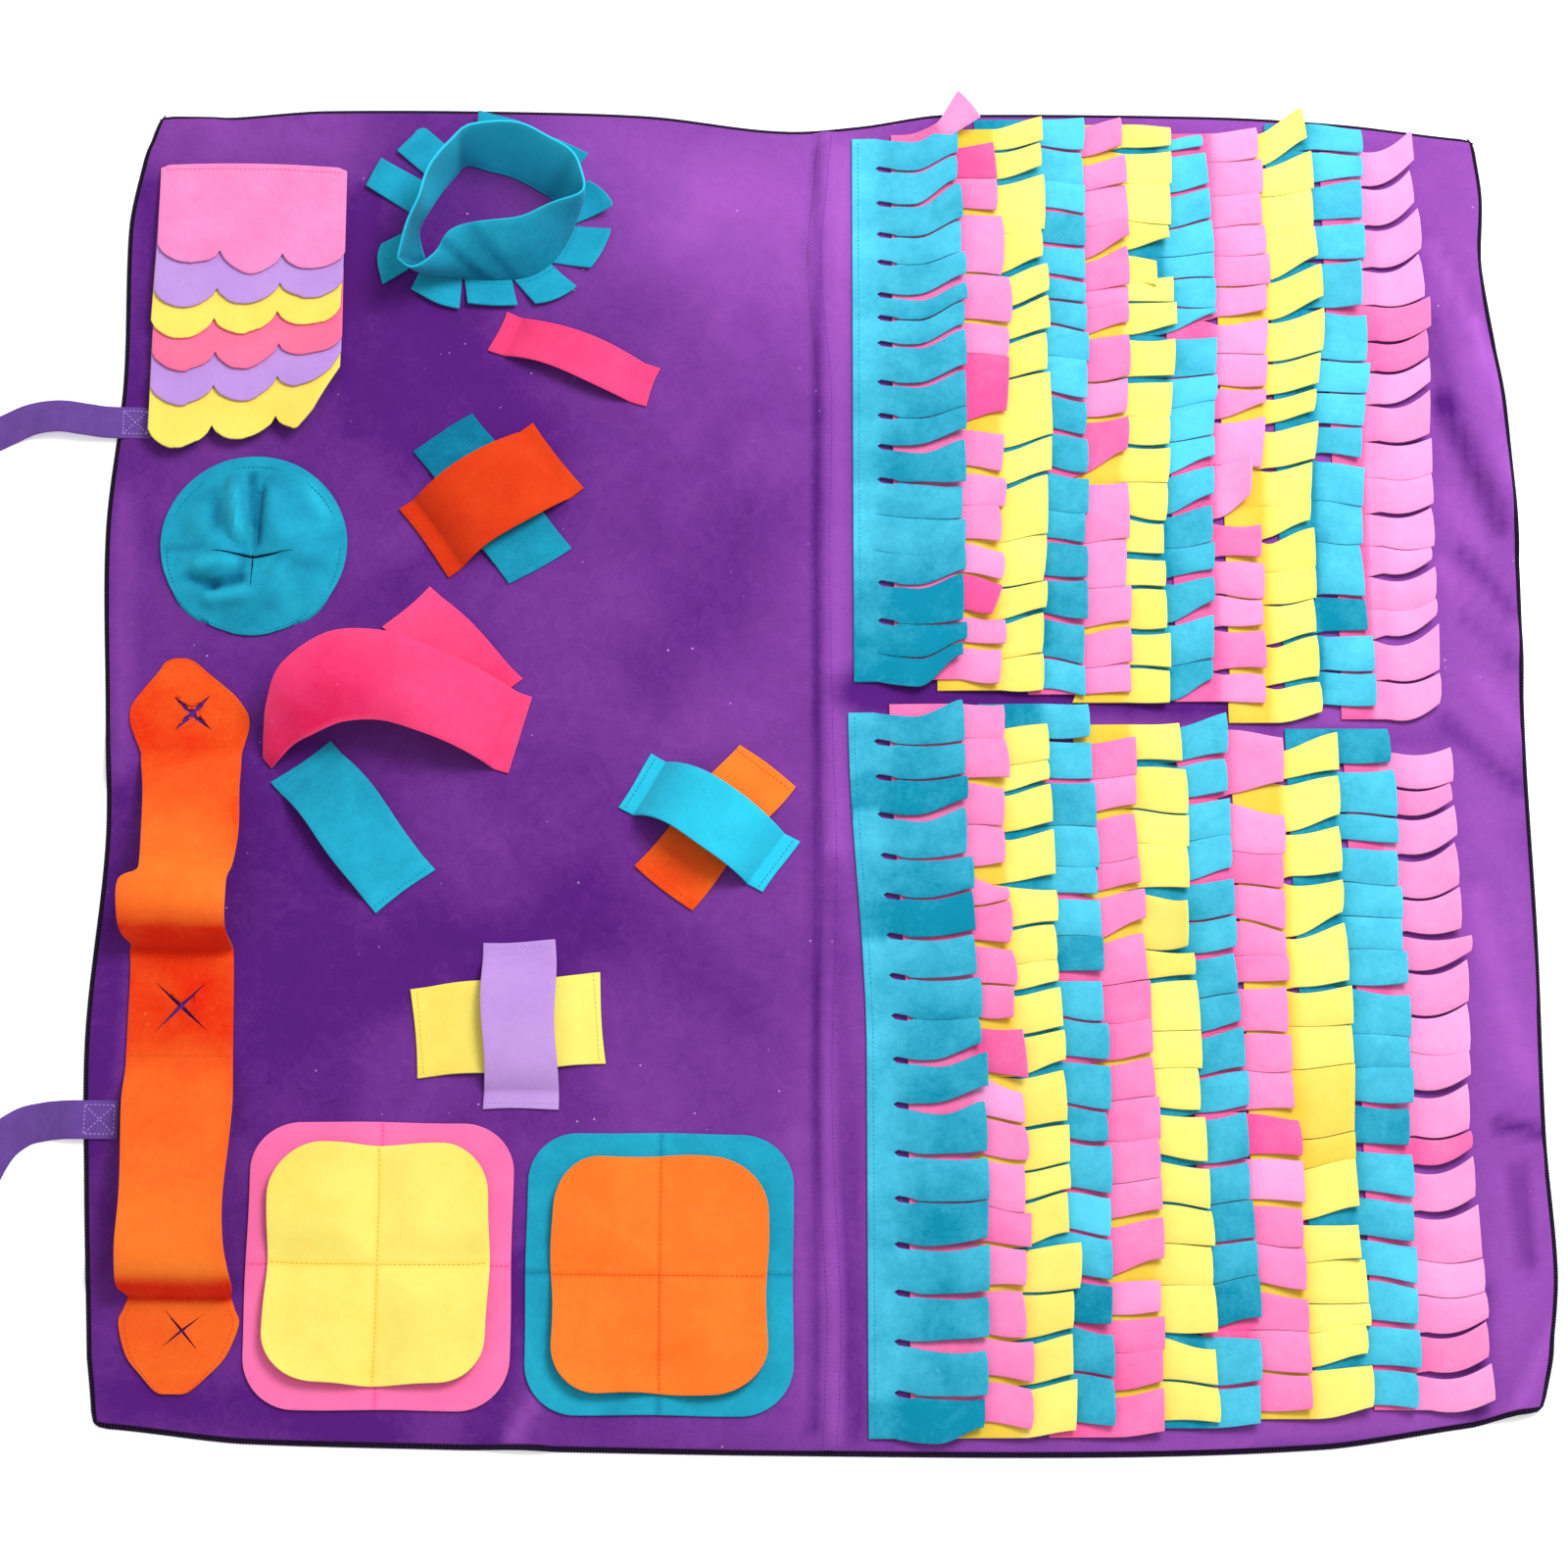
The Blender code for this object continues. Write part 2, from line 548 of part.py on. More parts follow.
def make_arch_strip():
    """The long strip: a cap, an arch, a patch, an arch and a cap in one piece of felt."""
    points, faces = [], []
    top_cap = []
    for x, y in TOP_CAP:
        top_cap.append(len(points))
        points.append((x, y, SEAT_Z))
    slit_patch(list(reversed(top_cap)), SLIT_CROSSES[0], points, faces)

    def add_row(y, height, left_x, right_x):
        """Adds the two edge points of a row, and gives their numbers."""
        points.append((left_x, y, SEAT_Z + height))
        points.append((right_x, y, SEAT_Z + height))
        return len(points) - 2, len(points) - 1

    def run_down(rows, left, right):
        """Adds faces down the rows from an edge, and gives the last edge."""
        for row in rows:
            below = add_row(*row)
            faces.append((*below, right, left))
            left, right = below
        return left, right

    left, right = run_down((*ARCH_ONE, MIDDLE_PATCH[0]), top_cap[0], top_cap[-1])
    lower = add_row(*MIDDLE_PATCH[1])
    slit_patch([left, *lower, right], SLIT_CROSSES[1], points, faces)
    left, right = run_down(ARCH_TWO, *lower)
    bottom_cap = []
    for x, y in BOTTOM_CAP:
        bottom_cap.append(len(points))
        points.append((x, y, SEAT_Z))
    faces.append((bottom_cap[-1], bottom_cap[0], right, left))
    slit_patch(list(reversed(bottom_cap)), SLIT_CROSSES[2], points, faces)
    add_sheet("arch_strip", points, faces, FELT_THICK, "orange", stands=True)


def make_pad(name, centre, half, layer, puff, colour):
    """A rounded square held down along a cross, its four quarters puffed and its edge wavy."""
    points = []
    for v in PAD_LINES:
        for u in PAD_LINES:
            x = half[0] * u * (1 - PAD_ROUNDING * v ** 4 * abs(u))
            y = half[1] * v * (1 - PAD_ROUNDING * u ** 4 * abs(v))
            edge = max(abs(u), abs(v))
            wave = PAD_WAVE[0] * math.sin(PAD_WAVE[1] * math.atan2(v, u) + half[0]) * edge ** 4 * layer
            far = ease(min(abs(x), abs(y)) / PAD_SEAM_REACH)
            points.append((centre[0] + x + wave, centre[1] + y + wave,
                           SEAT_Z + LAYER * layer + puff * far))
    steps = len(PAD_LINES) - 1
    add_sheet(name, points, grid_faces(steps, steps), FELT_THICK, colour)


def make_tunnel_strip(name, end, turn, length, width, rise, colour):
    """A strip sewn flat at both ends and free between them, standing up as a low tunnel."""
    angle = math.radians(turn)
    along = (math.cos(angle), math.sin(angle))
    free = length - 2 * TUNNEL_TAB
    stations = [0.0, *(TUNNEL_TAB + free * share for share in TUNNEL_STATIONS), length]
    points = []
    for place in stations:
        off_centre = abs(2 * (place - TUNNEL_TAB) / free - 1)
        height = rise * max(1 - off_centre ** TUNNEL_SQUARE, 0)
        for side in (-0.5, 0.5):
            points.append((end[0] + along[0] * place - along[1] * side * width,
                           end[1] + along[1] * place + along[0] * side * width,
                           SEAT_Z + height))
    faces = [(i, i + 2, i + 3, i + 1) for i in range(0, 2 * len(stations) - 2, 2)]
    add_sheet(name, points, faces, FELT_THICK, colour, stands=True)


def make_gathered_arch():
    """A wide strip gathered to a point at its left end, which stands up over the strip it crosses."""
    points = []
    for upper, lower in GATHERED_ARCH:
        middle = [(a + b) / 2 for a, b in zip(upper, lower)]
        if middle[2] > LAYER:
            middle[2] += ARCH_CROWN * math.dist(upper[:2], lower[:2])
        for x, y, height in (upper, middle, lower):
            points.append((x, y, SEAT_Z + height))
    faces = grid_faces(len(GATHERED_ARCH) - 1, 2)
    add_sheet("cross_b_over", points, faces, FELT_THICK, "hot_pink", stands=True)


def make_tie(name):
    """A webbing tie sewn on the mat's left edge, which comes down to the floor and lies there."""
    path, half = TIE_PATHS[name], TIE_WIDTHS[name] / 2
    points = []
    for index, (x, y, z) in enumerate(path):
        before, after = path[max(index - 1, 0)], path[min(index + 1, len(path) - 1)]
        run = math.hypot(after[0] - before[0], after[1] - before[1])
        across = ((after[1] - before[1]) / run * half, -(after[0] - before[0]) / run * half)
        points.append((x + across[0], y + across[1], z))
        points.append((x - across[0], y - across[1], z))
    faces = [(i, i + 2, i + 3, i + 1) for i in range(0, 2 * len(path) - 2, 2)]
    add_sheet(name, points, faces, WEBBING_THICK, "webbing", stands=True)


def main():
    """Builds every piece of the mat."""
    for node in list(bpy.data.objects):
        bpy.data.objects.remove(node)
    bpy.context.collection.objects.link(bpy.data.objects.new(ROOT, None))
    make_cloths()
    for name in TIE_PATHS:
        make_tie(name)
    for panel in PANELS:
        for number in range(1, STRIPS + 1):
            make_fringe_strip(panel, number)
    for number in range(1, FLAPS + 1):
        make_flap(number)
    make_crown_ring()
    make_disc()
    make_arch_strip()
    for pad in PADS:
        make_pad(*pad)
    for strip in TUNNEL_STRIPS:
        make_tunnel_strip(*strip)
    make_gathered_arch()


if __name__ == "__main__":
    main()
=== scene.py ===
"""Snuffle mat, dressed: fleece, felt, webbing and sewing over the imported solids.

Sizes in the tables are in millimetres and turn into metres where points are placed.
"""

import logging
import math
from collections.abc import Callable, Sequence
from dataclasses import dataclass, field
from enum import Enum
from typing import Any

import bmesh
import bpy
from mathutils import Matrix, Vector


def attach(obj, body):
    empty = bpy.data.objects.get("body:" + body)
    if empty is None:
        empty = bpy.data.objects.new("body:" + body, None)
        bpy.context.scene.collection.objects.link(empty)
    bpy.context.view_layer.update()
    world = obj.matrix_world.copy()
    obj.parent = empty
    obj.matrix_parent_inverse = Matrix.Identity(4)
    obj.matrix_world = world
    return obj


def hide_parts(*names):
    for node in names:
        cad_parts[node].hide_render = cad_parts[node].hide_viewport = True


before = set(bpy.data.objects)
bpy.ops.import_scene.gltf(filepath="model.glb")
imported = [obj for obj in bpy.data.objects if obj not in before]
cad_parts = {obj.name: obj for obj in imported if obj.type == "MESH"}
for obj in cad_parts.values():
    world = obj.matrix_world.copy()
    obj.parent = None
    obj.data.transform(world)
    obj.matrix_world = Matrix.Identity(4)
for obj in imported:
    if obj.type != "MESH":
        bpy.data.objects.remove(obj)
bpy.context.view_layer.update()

LOG = logging.getLogger("snuffle_mat")

Point = tuple[float, float, float]
Placer = Callable[[float, float], Point]
Table = Sequence[Sequence[float]]

MM = 0.001
# How near, in a sheet's own columns and rows, or in metres, a point counts as on a slit
NEAR = 1e-3
ON_SLIT = 2e-6
# How much of a dye's colour the cloth gives back under the studio light
DYE_DEPTH = 0.84
BODY = "root"

BACKING_THICK = 1.2
FLEECE_THICK = 2.0
FELT_THICK = 1.8
WEBBING_THICK = 1.5
GAP = 0.3
LAYER = FELT_THICK + GAP
FLEECE_Z = BACKING_THICK + GAP
SEAT_Z = FLEECE_Z + FLEECE_THICK + GAP
FELT_TOP = SEAT_Z + FELT_THICK


class Held(Enum):
    """How a sheet is kept in its shape."""

    LAID = "laid"
    STRETCHED = "stretched"
    FOLDED = "folded"
    GATHERED = "gathered"


class Side(Enum):
    """The two fringe panels."""

    UPPER = "upper"
    LOWER = "lower"


# --- Numbers ---------------------------------------------------------------------------------


def ease(share: float) -> float:
    """Rises smoothly from 0 at 0 to 1 at 1, and stays there.

    Args:
        share: The place on the slope.

    Returns:
        The smoothed share.
    """
    share = min(max(share, 0.0), 1.0)
    return share * share * (3 - 2 * share)


def uneven(*keys: float) -> float:
    """A number that looks random and is always the same for the same keys.

    Args:
        keys: Any numbers.

    Returns:
        A number from -1 to 1.
    """
    total = sum((index + 1.37) * 12.9898 * key for index, key in enumerate(keys))
    return 2 * ((math.sin(total + 0.5) * 43758.5453) % 1.0) - 1


def even_steps(start: float, end: float, count: int) -> list[float]:
    """Evenly spaced numbers.

    Args:
        start: The first number.
        end: The last number.
        count: The number of steps between them.

    Returns:
        The count + 1 numbers.
    """
    return [start + (end - start) * step / count for step in range(count + 1)]


def smooth_row(table: Table, at: float) -> list[float]:
    """The columns of a table at a place in its first column, on a smooth curve through its rows.

    Args:
        table: Rows that rise in their first column.
        at: The place in the first column.

    Returns:
        The other columns there.
    """
    place = next((i for i in range(1, len(table) - 1) if at < table[i][0]), len(table) - 1)
    rows = [table[max(min(place + step, len(table) - 1), 0)] for step in (-2, -1, 0, 1)]
    t = (at - rows[1][0]) / (rows[2][0] - rows[1][0])
    found = []
    for a, b, c, d in zip(*(row[1:] for row in rows)):
        found.append(b + 0.5 * t * (c - a + t * (2 * a - 5 * b + 4 * c - d + t * (3 * (b - c) + d - a))))
    return found


def numbered(rows: Table) -> list[tuple[float, ...]]:
    """The rows with their number put in front, for smooth_row."""
    return [(float(index), *row) for index, row in enumerate(rows)]


def ridge(x: float, y: float, ends: Table, height: float, half_width: float) -> float:
    """The height of one soft ridge between two points.

    Args:
        x: The place asked for.
        y: The place asked for.
        ends: The ridge's two ends.
        height: Its height at its crest.
        half_width: How far it reaches to either side.

    Returns:
        The rise at that place.
    """
    (x0, y0), (x1, y1) = ends
    run = (x1 - x0, y1 - y0)
    along = ((x - x0) * run[0] + (y - y0) * run[1]) / (run[0] ** 2 + run[1] ** 2)
    nearest = min(max(along, 0), 1)
    away = math.hypot(x - x0 - nearest * run[0], y - y0 - nearest * run[1])
    return height * ease(1 - away / half_width)


def dye(red: int, green: int, blue: int) -> tuple[float, float, float, float]:
    """A dyed colour as the shaders want it, from its three bytes.

    Args:
        red: Red, from 0 to 255.
        green: Green, from 0 to 255.
        blue: Blue, from 0 to 255.

    Returns:
        The linear colour, as strong as cloth reflects it.
    """
    linear = [c / 12.92 if c <= 0.04045 else ((c + 0.055) / 1.055) ** 2.4
              for c in (red / 255, green / 255, blue / 255)]
    return (*(DYE_DEPTH * c for c in linear), 1.0)


# --- Shader building -------------------------------------------------------------------------


class Graph:
    """A shader tree that is being built."""

    def __init__(self, tree: bpy.types.NodeTree) -> None:
        """Starts with an empty tree."""
        self.tree = tree
        tree.nodes.clear()

    def add(self, kind: str, wires: dict[Any, Any] | None = None, **settings: Any) -> bpy.types.Node:
        """Adds a node.

        Args:
            kind: Its type's name.
            wires: Its inputs: a socket is linked, and anything else is set.
            settings: Its own settings.

        Returns:
            The node.
        """
        node = self.tree.nodes.new(kind)
        node.location = (190 * (len(self.tree.nodes) % 9), -220 * (len(self.tree.nodes) // 9))
        for key, value in settings.items():
            setattr(node, key, value)
        for key, value in (wires or {}).items():
            if isinstance(value, bpy.types.NodeSocket):
                self.tree.links.new(value, node.inputs[key])
            else:
                node.inputs[key].default_value = value
        return node

    def sum(self, operation: str, first: Any, second: Any = 0.0, third: Any = 0.0) -> bpy.types.NodeSocket:
        """A Math node's result.

        Args:
            operation: The Math node's operation.
            first: A socket or number.
            second: A socket or number.
            third: A socket or number.

        Returns:
            The result's socket.
        """
        return self.add("ShaderNodeMath", {0: first, 1: second, 2: third}, operation=operation).outputs[0]

    def noise(self, vector: Any, scale: float, detail: float = 2.0, rough: float = 0.5,
              twist: float = 0.0) -> bpy.types.NodeSocket:
        """The value of a noise texture.

        Args:
            vector: The coordinates' socket.
            scale: Its scale, per metre.
            detail: Its detail.
            rough: Its roughness.
            twist: Its distortion.

        Returns:
            The value's socket.
        """
        return self.add("ShaderNodeTexNoise", {
            "Vector": vector, "Scale": scale, "Detail": detail, "Roughness": rough,
            "Distortion": twist}).outputs[0]

    def spread(self, value: Any, low: float, high: float, to_low: float = 0.0,
               to_high: float = 1.0) -> bpy.types.NodeSocket:
        """A value stretched from one range to another, and kept in it.

        Args:
            value: The value's socket.
            low: The range's low end.
            high: The range's high end.
            to_low: What the low end becomes.
            to_high: What the high end becomes.

        Returns:
            The result's socket.
        """
        return self.add("ShaderNodeMapRange", {
            0: value, 1: low, 2: high, 3: to_low, 4: to_high}).outputs[0]

    def blend(self, factor: Any, first: Any, second: Any) -> bpy.types.NodeSocket:
        """A colour between two colours.

        Args:
            factor: 0 for the first and 1 for the second.
            first: A colour or its socket.
            second: A colour or its socket.

        Returns:
            The colour's socket.
        """
        mix = self.add("ShaderNodeMix", {0: factor, 6: first, 7: second}, data_type="RGBA")
        return mix.outputs[2]


def effect(name: str, outputs: Sequence[str], fill: Callable[[Graph, Any], Sequence[Any]]) -> Any:
    """A shader group that several finishes share, made once.

    Args:
        name: The group's name.
        outputs: Its value outputs' names.
        fill: Builds its nodes from the coordinates, and gives the outputs' sockets.

    Returns:
        The group's node tree.
    """
    found = bpy.data.node_groups.get(name)
    if found:
        return found
    tree = bpy.data.node_groups.new(name, "ShaderNodeTree")
    tree.interface.new_socket(name="Vector", in_out="INPUT", socket_type="NodeSocketVector")
    for output in outputs:
        tree.interface.new_socket(name=output, in_out="OUTPUT", socket_type="NodeSocketFloat")
    graph = Graph(tree)
    vector = graph.add("NodeGroupInput").outputs[0]
    results = fill(graph, vector)
    graph.add("NodeGroupOutput", dict(zip(outputs, results)))
    return tree


def felt_fibres(graph: Graph, vector: Any) -> Sequence[Any]:
    """Matted fibres: how pale the felt is at a place, its height, and where loose hairs lie, which the felt
    paints with a highlight.

    Args:
        graph: The group's graph.
        vector: The coordinates' socket.

    Returns:
        The sockets for mottle, height and hair.
    """
    hair = graph.noise(vector, 900, 4, 0.7, 1.2)
    tuft = graph.noise(vector, 210, 3, 0.6, 0.8)
    cloud = graph.noise(vector, 34, 3, 0.55, 0.3)
    fine = graph.sum("MULTIPLY_ADD", tuft, 0.55, graph.sum("MULTIPLY", hair, 0.45))
    mottle = graph.sum("MULTIPLY_ADD", cloud, 0.5, graph.sum("MULTIPLY", fine, 0.5))
    stray = graph.noise(vector, 140, 2, 0.5, 3.5)
    return (graph.spread(mottle, 0.36, 0.64), fine, graph.spread(stray, 0.70, 0.76))


def fleece_nap(graph: Graph, vector: Any) -> Sequence[Any]:
    """Brushed nap: how pale it is, which way it lies, its height, its soft waves, and lint.

    Args:
        graph: The group's graph.
        vector: The coordinates' socket.

    Returns:
        The sockets for mottle, lie, height, wave and lint.
    """
    nap = graph.noise(vector, 620, 4, 0.7, 0.8)
    brush = graph.noise(vector, 70, 4, 0.6, 1.5)
    cloud = graph.noise(vector, 9, 3, 0.5, 0.6)
    mottle = graph.sum("MULTIPLY_ADD", brush, 0.5, graph.sum("MULTIPLY", nap, 0.5))
    wave = graph.noise(vector, 11, 2, 0.45, 1.1)
    specks = graph.add("ShaderNodeTexVoronoi", {"Vector": vector, "Scale": 95.0}, feature="F1")
    few = graph.noise(vector, 23, 1, 0.5)
    near = graph.spread(specks.outputs["Distance"], 0.05, 0.09, 1.0, 0.0)
    lint = graph.sum("MULTIPLY", near, graph.spread(few, 0.6, 0.68))
    return (graph.spread(mottle, 0.36, 0.64), graph.spread(cloud, 0.3, 0.7), nap, wave, lint)


def webbing_twill(graph: Graph, vector: Any) -> Sequence[Any]:
    """Twill ribs that turn back on themselves across the tape.

    Args:
        graph: The group's graph.
        vector: The place along and across the tape, in metres.

    Returns:
        The sockets for the rib and its height.
    """
    place = graph.add("ShaderNodeSeparateXYZ", {0: vector})
    back = graph.sum("PINGPONG", place.outputs[0], 0.0035)
    slant = graph.sum("ADD", place.outputs[1], back)
    rib = graph.sum("SINE", graph.sum("MULTIPLY", slant, 2 * math.pi / 0.0016))
    fuzz = graph.noise(vector, 800, 3, 0.6)
    height = graph.sum("MULTIPLY_ADD", rib, 0.5, fuzz)
    return (graph.spread(rib, -1, 1), height)


def plain_weave(graph: Graph, vector: Any) -> Sequence[Any]:
    """Small over and under crossings of a woven cloth.

    Args:
        graph: The group's graph.
        vector: The coordinates' socket.

    Returns:
        The sockets for the thread's tone and height.
    """
    place = graph.add("ShaderNodeSeparateXYZ", {0: vector})
    warp = graph.sum("SINE", graph.sum("MULTIPLY", place.outputs[0], 2 * math.pi / 0.0012))
    weft = graph.sum("SINE", graph.sum("MULTIPLY", place.outputs[1], 2 * math.pi / 0.0012))
    crossing = graph.sum("MULTIPLY", warp, weft)
    fuzz = graph.noise(vector, 300, 3, 0.6)
    return (graph.spread(fuzz, 0.3, 0.7), graph.sum("MULTIPLY_ADD", crossing, 0.5, fuzz))


# --- Finishes --------------------------------------------------------------------------------


@dataclass(frozen=True)
class Finish:
    """What every finish has: a name, its slot, and its pale and deep tones, between which dye variation and
    painted light and shade blend.
    """

    name: str
    slot: str
    pale: tuple[int, int, int]
    deep: tuple[int, int, int]
    roughness: float = 0.95
    sheen: float = 0.03
    bump: float = 0.35

    def face(self) -> bpy.types.Material:
        """The material of the cloth's faces, made once."""
        return self.made(f"{self.name}_face", 0.0)

    def edge(self) -> bpy.types.Material:
        """The material of the cloth's cut edge, paler by a painted highlight, made once."""
        return self.made(f"{self.name}_cut_edge_painted_highlight", 0.22)

    def made(self, name: str, paler: float) -> bpy.types.Material:
        """One material of this finish.

        Args:
            name: The material's name.
            paler: How much paler than the face it is, a painted highlight on the cut edge.

        Returns:
            The material.
        """
        found = bpy.data.materials.get(name)
        if found:
            return found
        material = bpy.data.materials.new(name)
        material.use_nodes = True
        graph = Graph(material.node_tree)
        colour, normal = self.shade(graph, paler)
        shader = graph.add("ShaderNodeBsdfPrincipled", {
            "Base Color": colour, "Normal": normal, "Roughness": self.roughness,
            "Specular IOR Level": 0.12, "Sheen Weight": self.sheen, "Sheen Roughness": 0.45})
        graph.add("ShaderNodeOutputMaterial", {0: shader.outputs[0]})
        material.diffuse_color = dye(*self.pale)
        return material

    def shade(self, graph: Graph, paler: float) -> tuple[Any, Any]:
        """Builds the colour and the normal.

        Args:
            graph: The material's graph.
            paler: How much paler than the face it is, a painted highlight on the cut edge.

        Returns:
            The sockets of the colour and the normal.
        """
        raise NotImplementedError


@dataclass(frozen=True)
class FeltFinish(Finish):
    """Pressed felt, whose tone each tongue or piece sets for itself, with dye variation and painted light
    and shade.
    """

    mottle: float = 0.26

    def shade(self, graph: Graph, paler: float) -> tuple[Any, Any]:
        """See Finish.shade."""
        spot = graph.add("ShaderNodeTexCoord").outputs["Object"]
        fibres = graph.add("ShaderNodeGroup", node_tree=effect(
            "felt_fibres", ("Mottle", "Height", "Hair"), felt_fibres))
        graph.tree.links.new(spot, fibres.inputs[0])
        tone = graph.add("ShaderNodeAttribute", attribute_name="tone").outputs["Fac"]
        shift = graph.sum("MULTIPLY_ADD", fibres.outputs["Mottle"], self.mottle, paler - self.mottle / 2)
        mixed = graph.add("ShaderNodeClamp", {0: graph.sum("ADD", tone, shift)}).outputs[0]
        felt = graph.blend(mixed, dye(*self.deep), dye(*self.pale))
        # Loose hairs get a painted highlight, a paler colour that stands for light on them
        hair_highlight = graph.sum("MULTIPLY", fibres.outputs["Hair"], 0.15)
        lit = tuple(min(255, round(channel * 0.6 + 110)) for channel in self.pale)
        colour = graph.blend(hair_highlight, felt, dye(*lit))
        bump = graph.add("ShaderNodeBump", {
            "Height": fibres.outputs["Height"], "Strength": self.bump, "Distance": 0.0007})
        return colour, bump.outputs[0]


@dataclass(frozen=True)
class FleeceFinish(Finish):
    """Brushed fleece, paler or deeper from place to place by its nap and by painted light and shade."""

    lint: tuple[int, int, int] = (214, 190, 226)

    def shade(self, graph: Graph, paler: float) -> tuple[Any, Any]:
        """See Finish.shade."""
        spot = graph.add("ShaderNodeTexCoord").outputs["Object"]
        nap = graph.add("ShaderNodeGroup", node_tree=effect(
            "fleece_nap", ("Mottle", "Lie", "Height", "Wave", "Lint"), fleece_nap))
        graph.tree.links.new(spot, nap.inputs[0])
        # The tone holds the painted light and shade of the strokes
        tone = graph.add("ShaderNodeAttribute", attribute_name="tone").outputs["Fac"]
        lie = graph.sum("MULTIPLY_ADD", nap.outputs["Lie"], 0.16, tone)
        mixed = graph.sum("MULTIPLY_ADD", nap.outputs["Mottle"], 0.12, graph.sum("ADD", lie, paler - 0.14))
        kept = graph.add("ShaderNodeClamp", {0: mixed}).outputs[0]
        cloth = graph.blend(kept, dye(*self.deep), dye(*self.pale))
        colour = graph.blend(graph.sum("MULTIPLY", nap.outputs["Lint"], 0.7), cloth, dye(*self.lint))
        waves = graph.add("ShaderNodeBump", {
            "Height": nap.outputs["Wave"], "Strength": 0.55, "Distance": 0.012})
        bump = graph.add("ShaderNodeBump", {
            "Height": nap.outputs["Height"], "Strength": self.bump, "Distance": 0.0008,
            "Normal": waves.outputs[0]})
        return colour, bump.outputs[0]


@dataclass(frozen=True)
class TapeFinish(Finish):
    """Woven tape, whose ribs follow its own length."""

    def shade(self, graph: Graph, paler: float) -> tuple[Any, Any]:
        """See Finish.shade."""
        run = graph.add("ShaderNodeAttribute", attribute_name="run").outputs["Vector"]
        twill = graph.add("ShaderNodeGroup", node_tree=effect(
            "webbing_twill", ("Rib", "Height"), webbing_twill))
        graph.tree.links.new(run, twill.inputs[0])
        mottle = graph.noise(run, 60, 3, 0.5)
        mixed = graph.sum("MULTIPLY_ADD", twill.outputs["Rib"], 0.5, graph.sum("MULTIPLY", mottle, 0.6))
        colour = graph.blend(mixed, dye(*self.deep), dye(*self.pale))
        bump = graph.add("ShaderNodeBump", {
            "Height": twill.outputs["Height"], "Strength": self.bump, "Distance": 0.0005})
        return colour, bump.outputs[0]


@dataclass(frozen=True)
class WovenFinish(Finish):
    """Plain woven cloth, as of the backing."""

    def shade(self, graph: Graph, paler: float) -> tuple[Any, Any]:
        """See Finish.shade."""
        spot = graph.add("ShaderNodeTexCoord").outputs["Object"]
        weave = graph.add("ShaderNodeGroup", node_tree=effect(
            "plain_weave", ("Tone", "Height"), plain_weave))
        graph.tree.links.new(spot, weave.inputs[0])
        cloud = graph.noise(spot, 15, 2, 0.5)
        mixed = graph.sum("MULTIPLY_ADD", weave.outputs["Tone"], 0.5, graph.sum("MULTIPLY", cloud, 0.5))
        colour = graph.blend(mixed, dye(*self.deep), dye(*self.pale))
        bump = graph.add("ShaderNodeBump", {
            "Height": weave.outputs["Height"], "Strength": self.bump, "Distance": 0.0004})
        return colour, bump.outputs[0]


@dataclass(frozen=True)
class ThreadFinish(Finish):
    """Twisted sewing thread."""

    def shade(self, graph: Graph, paler: float) -> tuple[Any, Any]:
        """See Finish.shade."""
        spot = graph.add("ShaderNodeTexCoord").outputs["Object"]
        ply = graph.noise(spot, 1500, 2, 0.5, 1.0)
        colour = graph.blend(graph.spread(ply, 0.35, 0.65), dye(*self.deep), dye(*self.pale))
        bump = graph.add("ShaderNodeBump", {"Height": ply, "Strength": self.bump, "Distance": 0.0002})
        return colour, bump.outputs[0]


FLEECE = FleeceFinish("purple_fleece", "fleece", (177, 96, 203), (84, 24, 122), sheen=0.1, bump=0.5)
BACKING = WovenFinish("dark_backing", "backing", (52, 26, 72), (22, 8, 34), sheen=0.05)
TAPE = TapeFinish("violet_tape", "webbing", (130, 90, 180), (76, 44, 126), sheen=0.1, bump=0.7)
TEAL = FeltFinish("teal_felt", "teal_felt", (90, 212, 244), (2, 136, 168), mottle=0.42)
DEEP_TEAL = FeltFinish("deep_teal_felt", "teal_felt", (44, 200, 232), (4, 110, 146))
LIGHT_PINK = FeltFinish("light_pink_felt", "pink_felt", (253, 168, 222), (249, 88, 156))
HOT_PINK = FeltFinish("hot_pink_felt", "hot_pink_felt", (255, 88, 146), (232, 32, 92))
PAD_PINK = FeltFinish("pad_pink_felt", "hot_pink_felt", (255, 132, 190), (246, 84, 150))
MID_PINK = FeltFinish("mid_pink_felt", "hot_pink_felt", (255, 134, 172), (242, 84, 130))
YELLOW = FeltFinish("yellow_felt", "yellow_felt", (252, 247, 132), (238, 198, 58))
ORANGE = FeltFinish("orange_felt", "orange_felt", (255, 130, 44), (228, 40, 6))
# A deeper copy of the orange felt that paints shade on the strip that faces away from the light
SHADED_ORANGE = FeltFinish("orange_felt_painted_shade", "orange_felt", (234, 82, 26), (198, 30, 6))
LILAC = FeltFinish("lilac_felt", "lilac_felt", (204, 164, 230), (166, 120, 204))
DARK_THREAD = ThreadFinish("dark_thread", "backing", (46, 24, 62), (20, 8, 30), 0.7, 0.0)
VIOLET_THREAD = ThreadFinish("violet_thread", "fleece", (96, 44, 140), (64, 20, 100), 0.7, 0.0)
TAPE_THREAD = ThreadFinish("tape_thread", "webbing", (196, 166, 240), (150, 116, 206), 0.7, 0.0)
TEAL_THREAD = ThreadFinish("teal_thread", "teal_felt", (40, 172, 202), (8, 122, 154), 0.7, 0.0)
PINK_THREAD = ThreadFinish("pink_thread", "hot_pink_felt", (250, 108, 166), (226, 62, 126), 0.7, 0.0)
